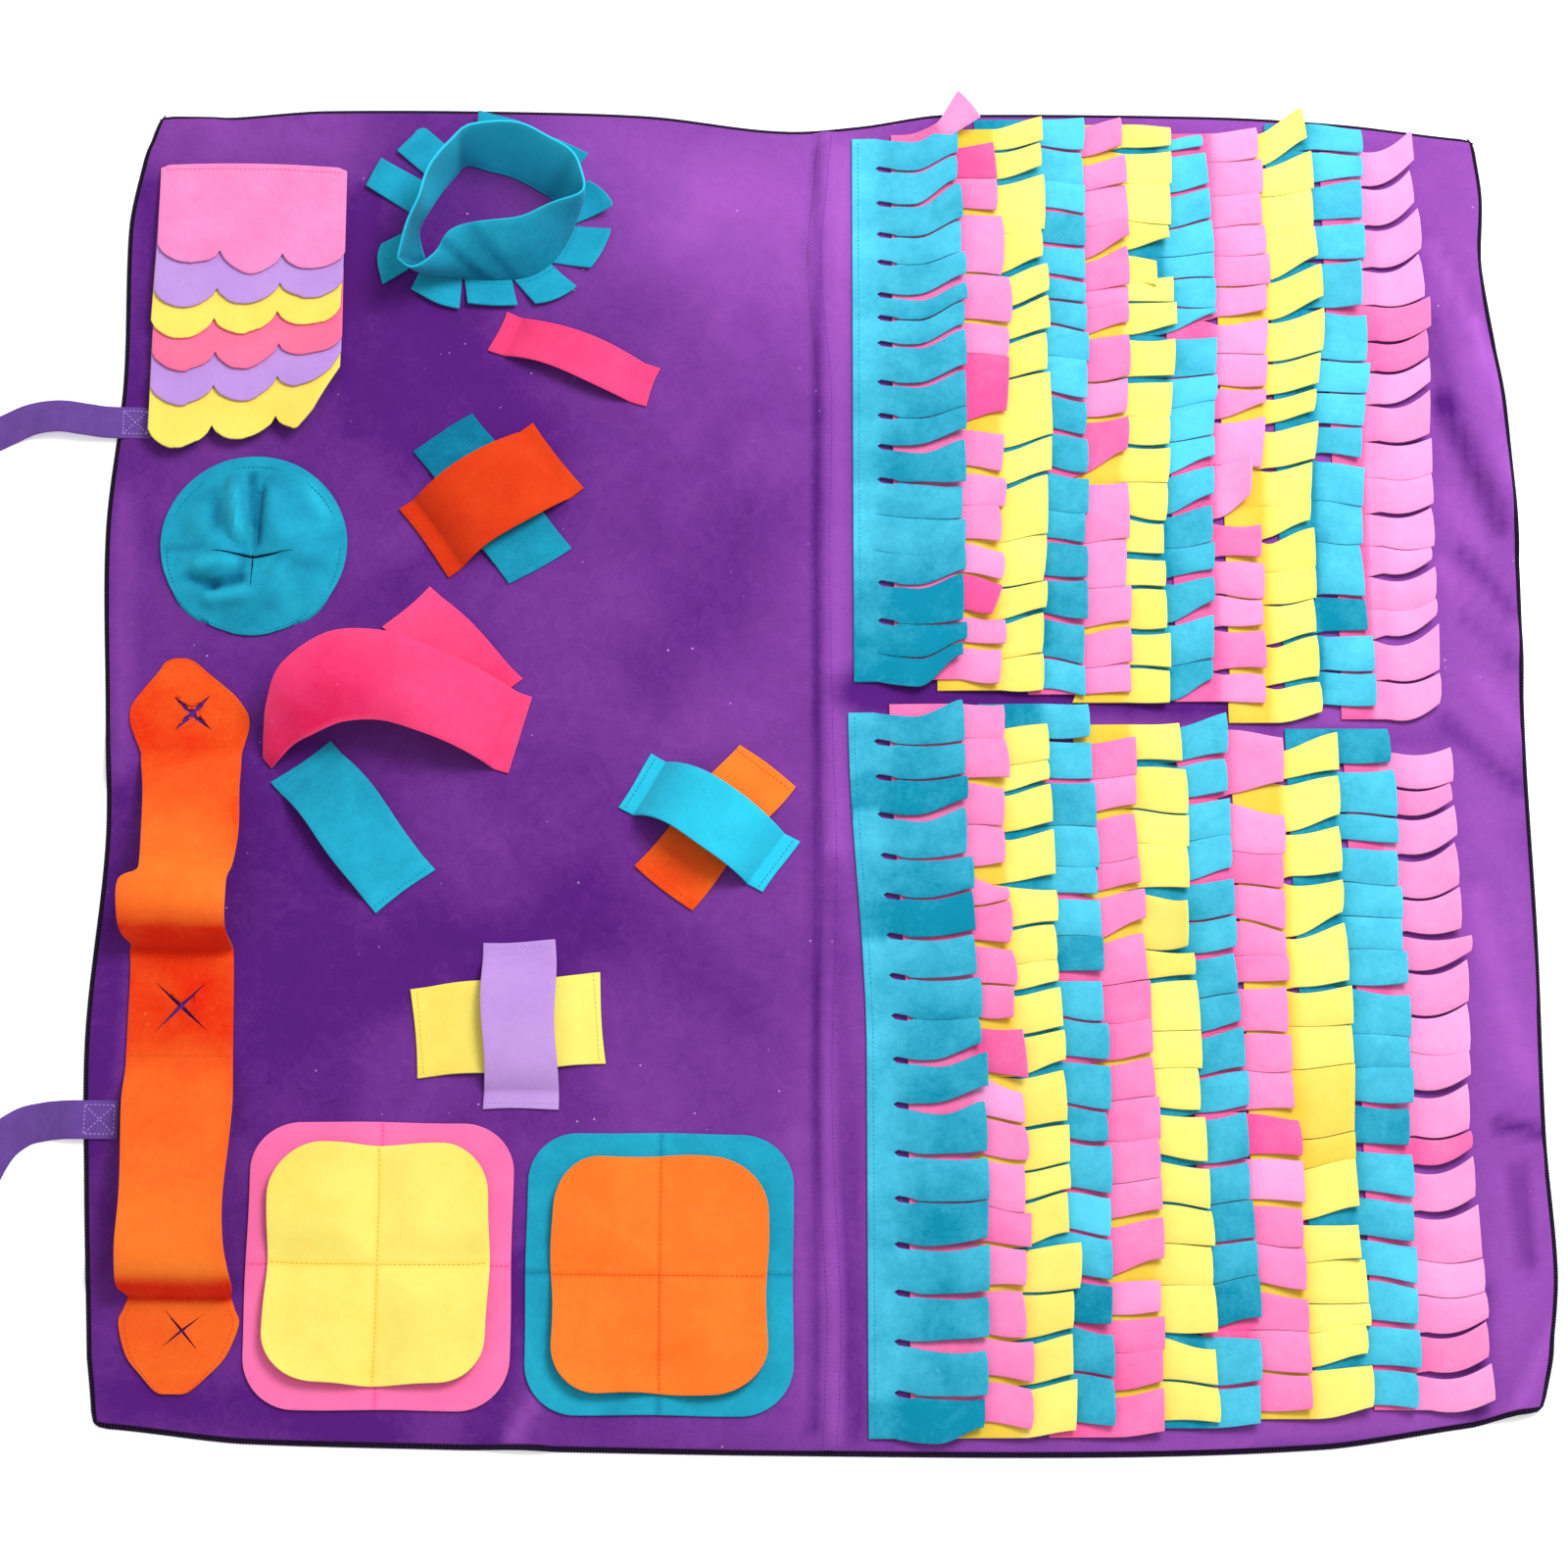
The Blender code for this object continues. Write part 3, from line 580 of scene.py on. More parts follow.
YELLOW_THREAD = ThreadFinish("yellow_thread", "yellow_felt", (248, 224, 104), (224, 182, 58), 0.7, 0.0)
ORANGE_THREAD = ThreadFinish("orange_thread", "orange_felt", (246, 108, 36), (216, 66, 14), 0.7, 0.0)
LILAC_THREAD = ThreadFinish("lilac_thread", "lilac_felt", (222, 192, 244), (190, 150, 222), 0.7, 0.0)
# The thread that sews each colour of felt, by its slot
THREADS = {"teal_felt": TEAL_THREAD, "pink_felt": PINK_THREAD, "hot_pink_felt": PINK_THREAD,
           "yellow_felt": YELLOW_THREAD, "orange_felt": ORANGE_THREAD, "lilac_felt": LILAC_THREAD}


# --- Making sheets and seams -----------------------------------------------------------------


def added(name: str, shape: bmesh.types.BMesh, materials: Sequence[bpy.types.Material]) -> bpy.types.Object:
    """Turns a shape into a piece that rides on the mat.

    Args:
        name: The piece's name.
        shape: Its shape, which is used up.
        materials: Its materials.

    Returns:
        The piece.
    """
    mesh = bpy.data.meshes.new(name)
    shape.normal_update()
    shape.to_mesh(mesh)
    shape.free()
    for material in materials:
        mesh.materials.append(material)
    mesh.shade_smooth()
    piece = bpy.data.objects.new(name, mesh)
    bpy.context.collection.objects.link(piece)
    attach(piece, BODY)
    LOG.info("%s: %d faces", name, len(mesh.polygons))
    return piece


@dataclass
class Seam:
    """A row, or several, of stitches in one thread."""

    name: str
    thread: ThreadFinish
    pitch: float = 3.4
    stitch: float = 2.6
    radius: float = 0.38

    def __post_init__(self) -> None:
        """Starts with no stitch."""
        self.shape = bmesh.new()

    def put(self, start: Vector, end: Vector) -> None:
        """Puts in one stitch.

        Args:
            start: Where it comes up, in millimetres.
            end: Where it goes down.
        """
        run = end - start
        turn = run.to_track_quat("X", "Z").to_matrix().to_4x4()
        size = Matrix.Diagonal((run.length / 2, self.radius, self.radius * 0.8, 1))
        place = Matrix.Translation((start + end) / 2 * MM)
        bmesh.ops.create_icosphere(self.shape, subdivisions=1, radius=MM, matrix=place @ turn @ size)

    def sew(self, path: Sequence[Point]) -> None:
        """Sews along a path.

        Args:
            path: Points on top of the cloth, in millimetres.
        """
        spots = [Vector(point) for point in path]
        rest = 0.0
        for a, b in zip(spots, spots[1:]):
            length = (b - a).length
            if length < 1e-6:
                continue
            along = (b - a) / length
            while rest < length:
                self.put(a + along * rest, a + along * (rest + self.stitch))
                rest += self.pitch
            rest -= length

    def lay(self) -> bpy.types.Object:
        """Makes the piece."""
        return added(self.name, self.shape, [self.thread.face()])


@dataclass
class Sheet:
    """One cut sheet of cloth or felt, from its flat grid to the piece on the mat."""

    name: str
    node: str
    finish: Finish
    flat: tuple[float, float]
    cut: float = 1.0
    thickness: float = FELT_THICK
    held: Held = Held.LAID
    rests_on: tuple[str, ...] = ("fleece_top",)
    soft_edge: float = 0.4
    edged: bool = True

    def __post_init__(self) -> None:
        """Starts with no face."""
        self.shape = bmesh.new()
        self.tone = self.shape.verts.layers.float.new("tone")
        self.run = self.shape.verts.layers.float_vector.new("run")

    def add_grid(self, columns: Sequence[float], rows: Sequence[float], place: Placer,
                 tone: float = 0.6) -> list[bmesh.types.BMVert]:
        """Adds a grid of faces.

        Args:
            columns: The grid lines across.
            rows: The grid lines up.
            place: Gives a grid point's place from its column and row, in millimetres.
            tone: How pale the felt is, from 0 to 1.

        Returns:
            The grid's points.
        """
        across, up = len(columns) - 1, len(rows) - 1
        made = bmesh.ops.create_grid(self.shape, x_segments=across, y_segments=up, size=1)["verts"]
        for vert in made:
            column = columns[round((vert.co.x + 1) / 2 * across)]
            row = rows[round((vert.co.y + 1) / 2 * up)]
            vert[self.run] = Vector((column, row, 0)) * MM
            vert[self.tone] = tone
            vert.co = Vector(place(column, row)) * MM
        return made

    def part(self, on_slit: Callable[[Vector, Vector], bool]) -> None:
        """Parts the sheet along grid edges.

        Args:
            on_slit: Tells from an edge's two ends, as column and row, if it is slit.
        """
        slits = [edge for edge in self.shape.edges if len(edge.link_faces) == 2 and on_slit(
            edge.verts[0][self.run] / MM, edge.verts[1][self.run] / MM)]
        bmesh.ops.split_edges(self.shape, edges=slits)

    def side_of(self, vert: bmesh.types.BMVert) -> Vector:
        """The middle of the faces round a point, as column and row: its side of a slit."""
        corners = [corner[self.run] for face in vert.link_faces for corner in face.verts]
        return sum(corners, Vector()) / len(corners) / MM

    def cross(self, centre: Point, half: float, turn: float, gape: float, curl: float) -> None:
        """Cuts a slit cross in a flat place, and lets its four corners curl up.

        Args:
            centre: Its middle, in millimetres.
            half: Half of each slit's length.
            turn: Its turn in degrees.
            gape: How far each corner draws back.
            curl: How far each corner rises.
        """
        middle = Vector(centre) * MM
        lines = []
        for quarter in (0, 90):
            angle = math.radians(turn + quarter)
            lines.append(Vector((-math.sin(angle), math.cos(angle), 0)))
        for line in lines:
            near = [face for face in self.shape.faces
                    if (face.calc_center_median() - middle).xy.length < (half + 6) * MM]
            edges = {edge for face in near for edge in face.edges}
            verts = {vert for face in near for vert in face.verts}
            bmesh.ops.bisect_plane(self.shape, geom=[*near, *edges, *verts], dist=1e-7,
                                   plane_co=middle, plane_no=line)

        def on_line(vert: bmesh.types.BMVert) -> bool:
            """Tells if a point is on one of the two slits."""
            away = vert.co - middle
            return away.xy.length < half * MM and min(abs(away.dot(line)) for line in lines) < ON_SLIT

        slits = []
        for edge in self.shape.edges:
            a, b = edge.verts
            mid = (a.co + b.co) / 2 - middle
            if on_line(a) and on_line(b) and min(abs(mid.dot(line)) for line in lines) < ON_SLIT:
                slits.append(edge)
        bmesh.ops.split_edges(self.shape, edges=slits)
        for vert in self.shape.verts:
            away = vert.co - middle
            reach = 1 - away.xy.length / (half * MM)
            if reach <= 0:
                continue
            faces = [face.calc_center_median() - middle for face in vert.link_faces]
            toward = sum(faces, Vector())
            sides = [math.copysign(1, toward.dot(line)) for line in lines]
            mouth = (lines[0] * sides[0] + lines[1] * sides[1]).normalized()
            vert.co.z += curl * MM * reach ** 2
            if on_line(vert) and len({tuple(math.copysign(1, f.dot(line)) for line in lines)
                                      for f in faces}) == 1:
                vert.co += mouth * gape * MM * reach

    def lay(self, on_it: Sequence[bpy.types.Object] = ()) -> bpy.types.Object:
        """Args:
            on_it: The separate pieces sewn to it; not used.

        Returns:
            The piece.
        """
        materials = [self.finish.face(), self.finish.edge()] if self.edged else [self.finish.face()]
        piece = added(self.name, self.shape, materials)
        thick = piece.modifiers.new("thickness", "SOLIDIFY")
        thick.thickness = self.thickness * MM
        thick.offset = 1
        # The rim takes the cut edge's material, which paints a highlight on felt
        thick.material_offset_rim = 1 if self.edged else 0
        soft = piece.modifiers.new("soft_edge", "BEVEL")
        soft.width = self.soft_edge * MM
        soft.segments = 2
        soft.limit_method = "ANGLE"
        soft.angle_limit = math.radians(55)
        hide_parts(self.node)
        return piece


# --- The two cloths --------------------------------------------------------------------------


@dataclass
class Cloths:
    """The square fleece on its backing, with the overcast edge."""

    corners: Table = ((-503, 500), (499, 502), (499, -483), (-503, -502))
    top_bow: Table = ((0, 0), (0.05, 2), (0.12, 9), (0.25, 11), (0.37, 9), (0.47, -2), (0.53, 3),
                      (0.59, 14), (0.8, 16), (0.9, 11), (1, 0))
    right_bow: Table = ((0, 0), (0.05, 4), (0.12, 1), (0.22, 14), (0.35, 17), (0.5, 14), (0.65, 15),
                        (0.8, 13), (0.9, 16), (0.96, 9), (1, 0))
    bottom_bow: Table = ((0, 0), (0.05, 10), (0.15, 24), (0.3, 28), (0.55, 24), (0.75, 18), (0.9, 12),
                         (1, 0))
    left_bow: Table = ((0, 0), (0.05, 6), (0.17, 14), (0.28, 19), (0.42, 12), (0.5, 16), (0.66, 24),
                       (0.78, 17), (0.91, 19), (0.97, 10), (1, 0))
    binding: float = 0.0033
    # How far along each side its rounded corners reach, as a share of it
    corner: float = 0.009
    steps: int = 130
    # The overcast stitches along a side, how deep they bite and how far they slant, as shares of it
    bites: int = 460
    bite: float = 0.0041
    slant: float = 0.0008
    # Both ends, height and half width of each soft fold of both cloths
    folds: Sequence[Any] = (
        (((474, 410), (512, 340)), 5, 20), (((480, 280), (518, 170)), 6, 20),
        (((482, 130), (520, 60)), 4, 18), (((516, -440), (470, -500)), 6, 16),
        (((-534, 12), (-518, -26)), 5, 14), (((-524, 500), (-466, 492)), 5, 18),
        (((-240, -524), (-196, -512)), 4, 10), (((-524, -400), (-512, -396)), 4, 10),
    )
    # Smaller ridges that the fleece alone makes where it is bare
    wrinkles: Sequence[Any] = (
        (((-150, 300), (-40, 352)), 1.6, 22), (((-160, 470), (-60, 420)), 1.4, 20),
        (((-60, 60), (0, 150)), 1.2, 16), (((-330, 300), (-380, 250)), 1.3, 16),
        (((-180, -190), (-60, -260)), 1.5, 24), (((-10, -150), (-70, -240)), 1.2, 18),
        (((-390, -200), (-340, -150)), 1.2, 16), (((-520, 90), (-505, -20)), 1.4, 10),
        (((-514, 330), (-508, 200)), 1.2, 9), (((-200, 260), (-120, 200)), 1.2, 18),
        (((480, -60), (506, -180)), 1.8, 14), (((486, -296), (508, -300)), 1.8, 13),
        (((476, 262), (508, 196)), 1.8, 12), (((472, 134), (506, 92)), 1.8, 13),
        (((470, 46), (508, 4)), 1.8, 13), (((486, -330), (474, -420)), 1.6, 13),
        (((478, 480), (500, 430)), 1.5, 12), (((-100, -500), (-10, -506)), 1.3, 9),
        (((200, -516), (330, -510)), 1.2, 7), (((-300, -236), (-330, -262)), 1.0, 12),
    )
    crease: Sequence[float] = (0.504, 3, 0.0098)
    # Strokes of painted light and shade on the fleece, and of its nap's lie: along its folds, in the gutter
    # between the fringe panels, beside the flaps and along the crease. Both ends, how much paler, and half
    # width
    light_and_nap_strokes: Sequence[Any] = (
        (((-170, 470), (10, 440)), 0.36, 120), (((-490, 490), (-380, 478)), 0.26, 60),
        (((-90, 400), (-20, 340)), 0.14, 80),
        (((-345, 340), (-240, 220)), -0.24, 90), (((-400, -50), (-385, -250)), -0.34, 80),
        (((-320, -170), (-180, -160)), -0.16, 60), (((20, 44), (320, 34)), -0.5, 26),
        (((330, 16), (450, 12)), -0.2, 18), (((8, -90), (20, -500)), -0.3, 14),
        (((457, 350), (470, 280)), -0.24, 16), (((464, 282), (503, 180)), -0.42, 15),
        (((461, 410), (492, 345)), 0.32, 10), (((492, 345), (514, 280)), 0.34, 10),
        (((490, 320), (512, 225)), 0.16, 15), (((462, 205), (486, 165)), 0.14, 12),
        (((474, 158), (508, 112)), -0.34, 12), (((456, 150), (494, 84)), 0.2, 10),
        (((473, 110), (508, 70)), -0.26, 10), (((480, 58), (514, 20)), 0.16, 12),
        (((454, 26), (504, -24)), -0.34, 14), (((512, 0), (516, -180)), -0.12, 14),
        (((470, -110), (500, -240)), 0.2, 18), (((478, -277), (512, -284)), -0.46, 10),
        (((490, -314), (494, -378)), -0.38, 12), (((462, -398), (452, -488)), -0.34, 14),
        (((510, -426), (480, -482)), 0.26, 10), (((520, -440), (506, -490)), -0.3, 12),
        (((300, -516), (470, -505)), -0.4, 12),
        (((-236, -505), (-214, -392)), -0.3, 20), (((-214, -508), (-200, -480)), 0.3, 12),
        (((-216, -389), (-208, -389)), 0.5, 4), (((14, 480), (8, -500)), 0.22, 16),
        (((-4, 480), (-6, -500)), -0.25, 7), (((-508, 440), (-512, 260)), -0.2, 14),
        (((-514, 190), (-506, -40)), 0.16, 16), (((-505, -40), (-512, -300)), -0.25, 14),
        (((-346, 440), (-346, 250)), -0.2, 18),
        (((-480, -480), (-300, -500)), -0.14, 26), (((-120, 60), (-40, 180)), -0.14, 60),
        (((-20, -300), (-10, -480)), 0.12, 24), (((-170, -110), (-60, -190)), -0.12, 40),
    )

    def side_point(self, start: Any, end: Any, bow: Table, share: float) -> tuple[float, float]:
        """A point on one bowed side.

        Args:
            start: The side's first corner.
            end: Its last corner.
            bow: How far it bows out.
            share: How far along it.

        Returns:
            The place, x and y.
        """
        (x0, y0), (x1, y1) = start, end
        length = math.hypot(x1 - x0, y1 - y0)
        out = smooth_row(bow, share)[0]
        return (x0 + (x1 - x0) * share - (y1 - y0) / length * out,
                y0 + (y1 - y0) * share + (x1 - x0) / length * out)

    def spot(self, u: float, v: float) -> tuple[float, float]:
        """The place on the backing at a share u from the left and v from the bottom.

        Args:
            u: The share from the left.
            v: The share from the bottom.

        Returns:
            The place, x and y.
        """
        near_u, near_v = (max(1 - min(share, 1 - share) / self.corner, 0) for share in (u, v))
        u += math.copysign(self.corner * near_u * (1 - math.sqrt(1 - near_v ** 2 / 2)), 0.5 - u)
        v += math.copysign(self.corner * near_v * (1 - math.sqrt(1 - near_u ** 2 / 2)), 0.5 - v)
        top_left, top_right, bottom_right, bottom_left = self.corners
        top = self.side_point(top_left, top_right, self.top_bow, u)
        right = self.side_point(top_right, bottom_right, self.right_bow, 1 - v)
        bottom = self.side_point(bottom_right, bottom_left, self.bottom_bow, 1 - u)
        left = self.side_point(bottom_left, top_left, self.left_bow, v)
        place = []
        for axis in (0, 1):
            square = (1 - u) * (v * top_left[axis] + (1 - v) * bottom_left[axis]) + u * (
                v * top_right[axis] + (1 - v) * bottom_right[axis])
            place.append(v * top[axis] + (1 - v) * bottom[axis] + (1 - u) * left[axis]
                         + u * right[axis] - square)
        return place[0], place[1]

    def rise(self, x: float, y: float) -> float:
        """How far both cloths stand off the floor at a place."""
        return max(ridge(x, y, *fold) for fold in self.folds)

    def place_backing(self, u: float, v: float) -> Point:
        """The backing's underside."""
        x, y = self.spot(u, v)
        return x, y, self.rise(x, y)

    def place_fleece(self, u: float, v: float) -> Point:
        """The fleece's underside.

        Args:
            u: The share from the left.
            v: The share from the bottom.

        Returns:
            The place.
        """
        x, y = self.spot(u, v)
        at, height, half = self.crease
        crease = height * (1 - abs(u - at) / half) ** 1.5 if abs(u - at) < half else 0.0
        wrinkle = max(ridge(x, y, *row) for row in self.wrinkles)
        return x, y, FLEECE_Z + self.rise(x, y) + crease + wrinkle

    def light_and_nap_tone(self, x: float, y: float) -> float:
        """How pale the fleece is at a place, from 0 to 1: paler to the right by painted light and sheen,
        and paler or deeper along the strokes.
        """
        tone = 0.12 + 0.44 * ease((x + 340) / 760) + sum(ridge(x, y, *stroke) for stroke in self.light_and_nap_strokes)
        return min(max(tone, 0.0), 1.0)

    def lines(self) -> list[float]:
        """The grid lines of both cloths, which include the binding's edge."""
        inner = even_steps(self.binding, 1 - self.binding, self.steps)
        at, _, half = self.crease
        close = [at + half * share for share in (-1, -0.6, -0.3, -0.1, 0.1, 0.3, 0.6, 1)]
        return sorted({0.0, 1.0, *inner, *close})

    def overcast(self) -> bpy.types.Object:
        """Sews the dark thread over the edge, all the way round."""
        seam = Seam("overcast_edge", DARK_THREAD, radius=0.72)
        low, high = 0.7, FLEECE_Z + FLEECE_THICK + 0.35
        for along_u in (True, False):
            for fixed, inward in ((0.0, self.bite), (1.0, -self.bite)):
                for share in even_steps(0, 1, self.bites):
                    edge = (share, fixed)
                    inner = (min(share + self.slant, 1), fixed + inward)
                    x0, y0 = self.spot(*(edge if along_u else edge[::-1]))
                    x1, y1 = self.spot(*(inner if along_u else inner[::-1]))
                    lift = self.rise(x0, y0)
                    seam.put(Vector((x0, y0, lift + low)), Vector((x1, y1, lift + high)))
        return seam.lay()

    def build(self) -> None:
        """Makes the backing, the fleece and the sewing of their edge and their middle seam."""
        lines = self.lines()
        backing = Sheet("backing_under", "backing_cloth", BACKING, (1020, 1020), 0.97, BACKING_THICK,
                        rests_on=("floor",), soft_edge=0.3, edged=False)
        backing.add_grid(lines, lines, self.place_backing)
        backing.lay([self.overcast()])
        middle = Seam("middle_seam", VIOLET_THREAD, 3.2, 2.4, 0.3)
        at = self.crease[0]
        for side in (-0.0045, 0.0052):
            path = []
            for v in even_steps(0.006, 0.994, 120):
                x, y, z = self.place_fleece(at + side, v)
                path.append((x, y, z + FLEECE_THICK + 0.05))
            middle.sew(path)
        fleece = Sheet("fleece_top", "top_cloth", FLEECE, (1014, 1014), 0.97, FLEECE_THICK,
                       rests_on=("backing_under",), soft_edge=0.7, edged=False)
        for vert in fleece.add_grid(lines[1:-1], lines[1:-1], self.place_fleece):
            vert[fleece.tone] = self.light_and_nap_tone(vert.co.x / MM, vert.co.y / MM)
        fleece.lay([middle.lay()])


# --- The fringe ------------------------------------------------------------------------------


@dataclass(frozen=True)
class Stray:
    """How the tip of a tongue lies out of line."""

    x: float = 0.0
    y: float = 0.0
    z: float = 0.0
    turn: float = 0.0
    skew: float = 0.0
    early: float = 0.0


@dataclass
class FringePanel:
    """Slit felt strips that lap like shingles, each lying over the one on its right."""

    side: Side
    seed: int
    # For each strip from the left: its top edge, slits and bottom edge, as the y at the next
    # strip's side, the y at the tips, and how far it gapes
    slits: Sequence[Table]
    # For each strip: where its tips lie at four levels from the bottom
    tips: Sequence[Sequence[float]]
    tip_levels: Sequence[float]
    # How pale each strip is at its top and at its bottom
    fades: Sequence[tuple[float, float]]
    width: float = 83.0
    spine: float = 18.0
    first_x: float = 22.0
    pitch: float = 29.1
    growth: float = 0.66
    lean: Sequence[float] = (13.0, 27, 260, 0.35, 480)
    # Tongues that lie out of line, by strip and tongue
    strays: dict[tuple[int, int], Stray] = field(default_factory=dict)
    # Tongues that stand in the light or out of it, and how much paler that makes them
    lights: dict[tuple[int, int], float] = field(default_factory=dict)
    finishes: Sequence[FeltFinish] = (TEAL, LIGHT_PINK, YELLOW)
    columns: Sequence[float] = (0, 2, 7, 13, 18, 21, 25, 30, 35, 40, 45, 50, 54, 57, 60, 63, 66, 69, 72,
                                75, 78, 81, 83)
    first_tone: float = -0.05
    across: int = 4
    # By how much chance changes a tongue's reach, curl and twist, and bows a slit
    reach_by: float = 2.0
    curl_by: float = 2.8
    twist_by: float = 1.3
    bow_by: float = 1.3
    # Half of how wide the first strip's slits are punched at their root
    punched: float = 2.3
    # Painted shade on the parts that lie under another strip, seen through the slits: how pale they are, on
    # the second strip and on the rest
    painted_shade_under: tuple[float, float] = (0.3, 0.12)

    def strip_x(self, level: float) -> float:
        """Where the strip at a level of the shingled stack starts."""
        return self.first_x + self.pitch * level + self.growth * level ** 2

    def level_at(self, x: float) -> float:
        """The level of the strip that would start at x."""
        return (math.sqrt(self.pitch ** 2 + 4 * self.growth * max(x - self.first_x, 0)) - self.pitch) / (
            2 * self.growth)

    def leaning(self, x: float, y: float) -> float:
        """How far the lower panel leans to the right at a place."""
        whole, top, reach, at_top, straight_x = self.lean
        return whole * (ease((top - y) / reach) - at_top) * (1 - x / straight_x) if y < top + 14 else 0.0

    def bare(self, number: int) -> float:
        """Where the part of a strip starts that the strip on its left leaves bare."""
        return self.spine if number == 1 else self.width - self.pitch - self.growth * (2 * number - 3) - 2

    def slit_y(self, number: int, slit: Sequence[float], along: float) -> float:
        """Where a slit, or the strip's end, runs.

        Args:
            number: The strip.
            slit: The slit's row.
            along: The place along the tongues.

        Returns:
            The slit's y.
        """
        left, right = slit[:2]
        if number == 1:
            share = min(max((along - self.spine) / 62, 0), 1)
            return left + (right - left) * ease((along - 48) / 35) - 4 * math.sin(math.pi * share)
        start = self.bare(number)
        share = max((along - start) / (self.width - start), 0)
        if number == len(self.slits):
            return left + (right - left) * share ** 1.8 - 3 * math.sin(math.pi * share)
        bow = self.bow_by * uneven(self.seed, number, left, 6)
        return left + (right - left) * (0.5 * share + 0.5 * ease(share)) + bow * math.sin(math.pi * share)

    def opening(self, number: int, slit: Sequence[float], along: float) -> float:
        """Half of how far a slit is open at a place along the tongues."""
        start = self.bare(number)
        if number == 1:
            root = self.punched * ease((along - self.spine) / 1.5) * (1 - 0.9 * ease((along - 29) / 5))
            wide = slit[2] + (1.2 if slit[2] > 0.9 else 0)
            open_by = 0.5 * ease((along - 26) / 8) + 0.5 * ease((along - 28) / 36)
            return max(root if slit[2] > 0.5 else 0.2, wide / 2 * open_by)
        if slit[2] > 7:
            share = ease((along - start + 8) / (self.width - start + 8))
            return slit[2] / 2 * (0.25 + 0.75 * share) * ease((along - start + 14) / 14)
        wide = slit[2] + (0.8 if slit[2] > 0.9 else 0)
        return wide / 2 * ease((along - start + 14) / 16)

    def place(self, number: int, tongue: int, along: float, share: float) -> tuple[Point, float]:
        """One point of a tongue.

        Args:
            number: The strip.
            tongue: The tongue, from the top.
            along: The place along it.
            share: The place across it, 0 at its upper slit.

        Returns:
            The place, and how pale the felt is there.
        """
        seed, level = self.seed, number - 1
        rows = self.slits[number - 1]
        above, below = rows[tongue - 1], rows[tongue]
        high, low = self.slit_y(number, above, along), self.slit_y(number, below, along)
        if tongue > 1:
            high -= self.opening(number, above, along)
        if tongue < len(rows) - 1:
            low += self.opening(number, below, along)
        low = min(low, high - 2.5)
        y = high + (low - high) * share
        root = self.strip_x(level)
        root += self.leaning(root, y)
        levels = self.tip_levels
        tip = smooth_row(list(zip(levels, self.tips[number - 1])), min(max(y, levels[0]), levels[-1]))[0]
        x = root + (tip - root) * along / self.width
        z = SEAT_Z + LAYER * max(self.level_at(x - self.leaning(x, y)) - level, 0)
        start = self.bare(number)
        stray = self.strays.get((number, tongue), Stray())
        bend = max(along - start + stray.early, 0) / (self.width - start + stray.early)
        wide = high - low
        reach = self.reach_by * uneven(seed, number, tongue, 1)
        reach -= 0.045 * wide * (share - 0.5) * uneven(seed, number, tongue, 2)
        reach -= 1.2 * (2 * abs(share - 0.5)) ** 4 * (0.5 + 0.5 * uneven(seed, number, tongue, 12))
        if number == 2:
            reach *= 1.8
        curl = self.curl_by * max(uneven(seed, number, tongue, 3), 0)
        curl += 1.0 + 0.25 * min(above[2] + below[2], 8)
        twist = self.twist_by * uneven(seed, number, tongue, 4) + stray.turn
        cup = 0.5 * (1 - (2 * share - 1) ** 2) * ease((along - start) / 14)
        ripple = 0.0
        if number == 1:
            curl *= 0.8
            cup *= 1.6
            dip = math.sin((along - self.spine) / 10 + 1.4 * uneven(seed, tongue, 9))
            ripple = 0.8 * dip * ease((along - 22) / 14)
            curl += 1.5 * ease((above[2] + below[2]) / 8)
        swell = 0.5 * math.sin(y / 31 + number) + 0.5
        x += (stray.x + reach + stray.skew * (1 - share)) * bend ** 1.3
        y += stray.y * bend ** 1.4
        z += max((stray.z + curl + swell) * bend ** 1.6 + twist * (0.5 - share) * 2 * bend, 0)
        z += cup + max(ripple, 0)
        top, foot = self.fades[number - 1]
        tone = top + (foot - top) * (tongue - 1) / (len(rows) - 2) + self.lights.get((number, tongue), 0.0)
        # Random dye variation, and painted shade toward each tongue's lower edge
        tone += 0.13 * uneven(seed, number, tongue, 7) - 0.08 * (share - 0.5)
        if number == 1:
            # Painted light near the spine and painted shade in the middle of the tongues
            tone += self.first_tone + 0.2 * (1 - ease((along - 4) / 30))
            tone -= 0.12 * math.sin(math.pi * ease((along - 20) / 60))
        else:
            # Painted light toward the lifted tips, painted shade where the strip comes out from under the
            # one on its left
            tone += 0.10 * bend - 0.12 * (1 - ease((along - start) / 9))
            # Painted shade on the parts under the strip on the left, which show through its slits
            bare = ease((along - start + (16 if number == len(self.slits) else 6)) / 7)
            tone = tone * bare + self.painted_shade_under[0 if number == 2 else 1] * (1 - bare)
        return (x, y, z), min(max(tone, 0.0), 1.0)

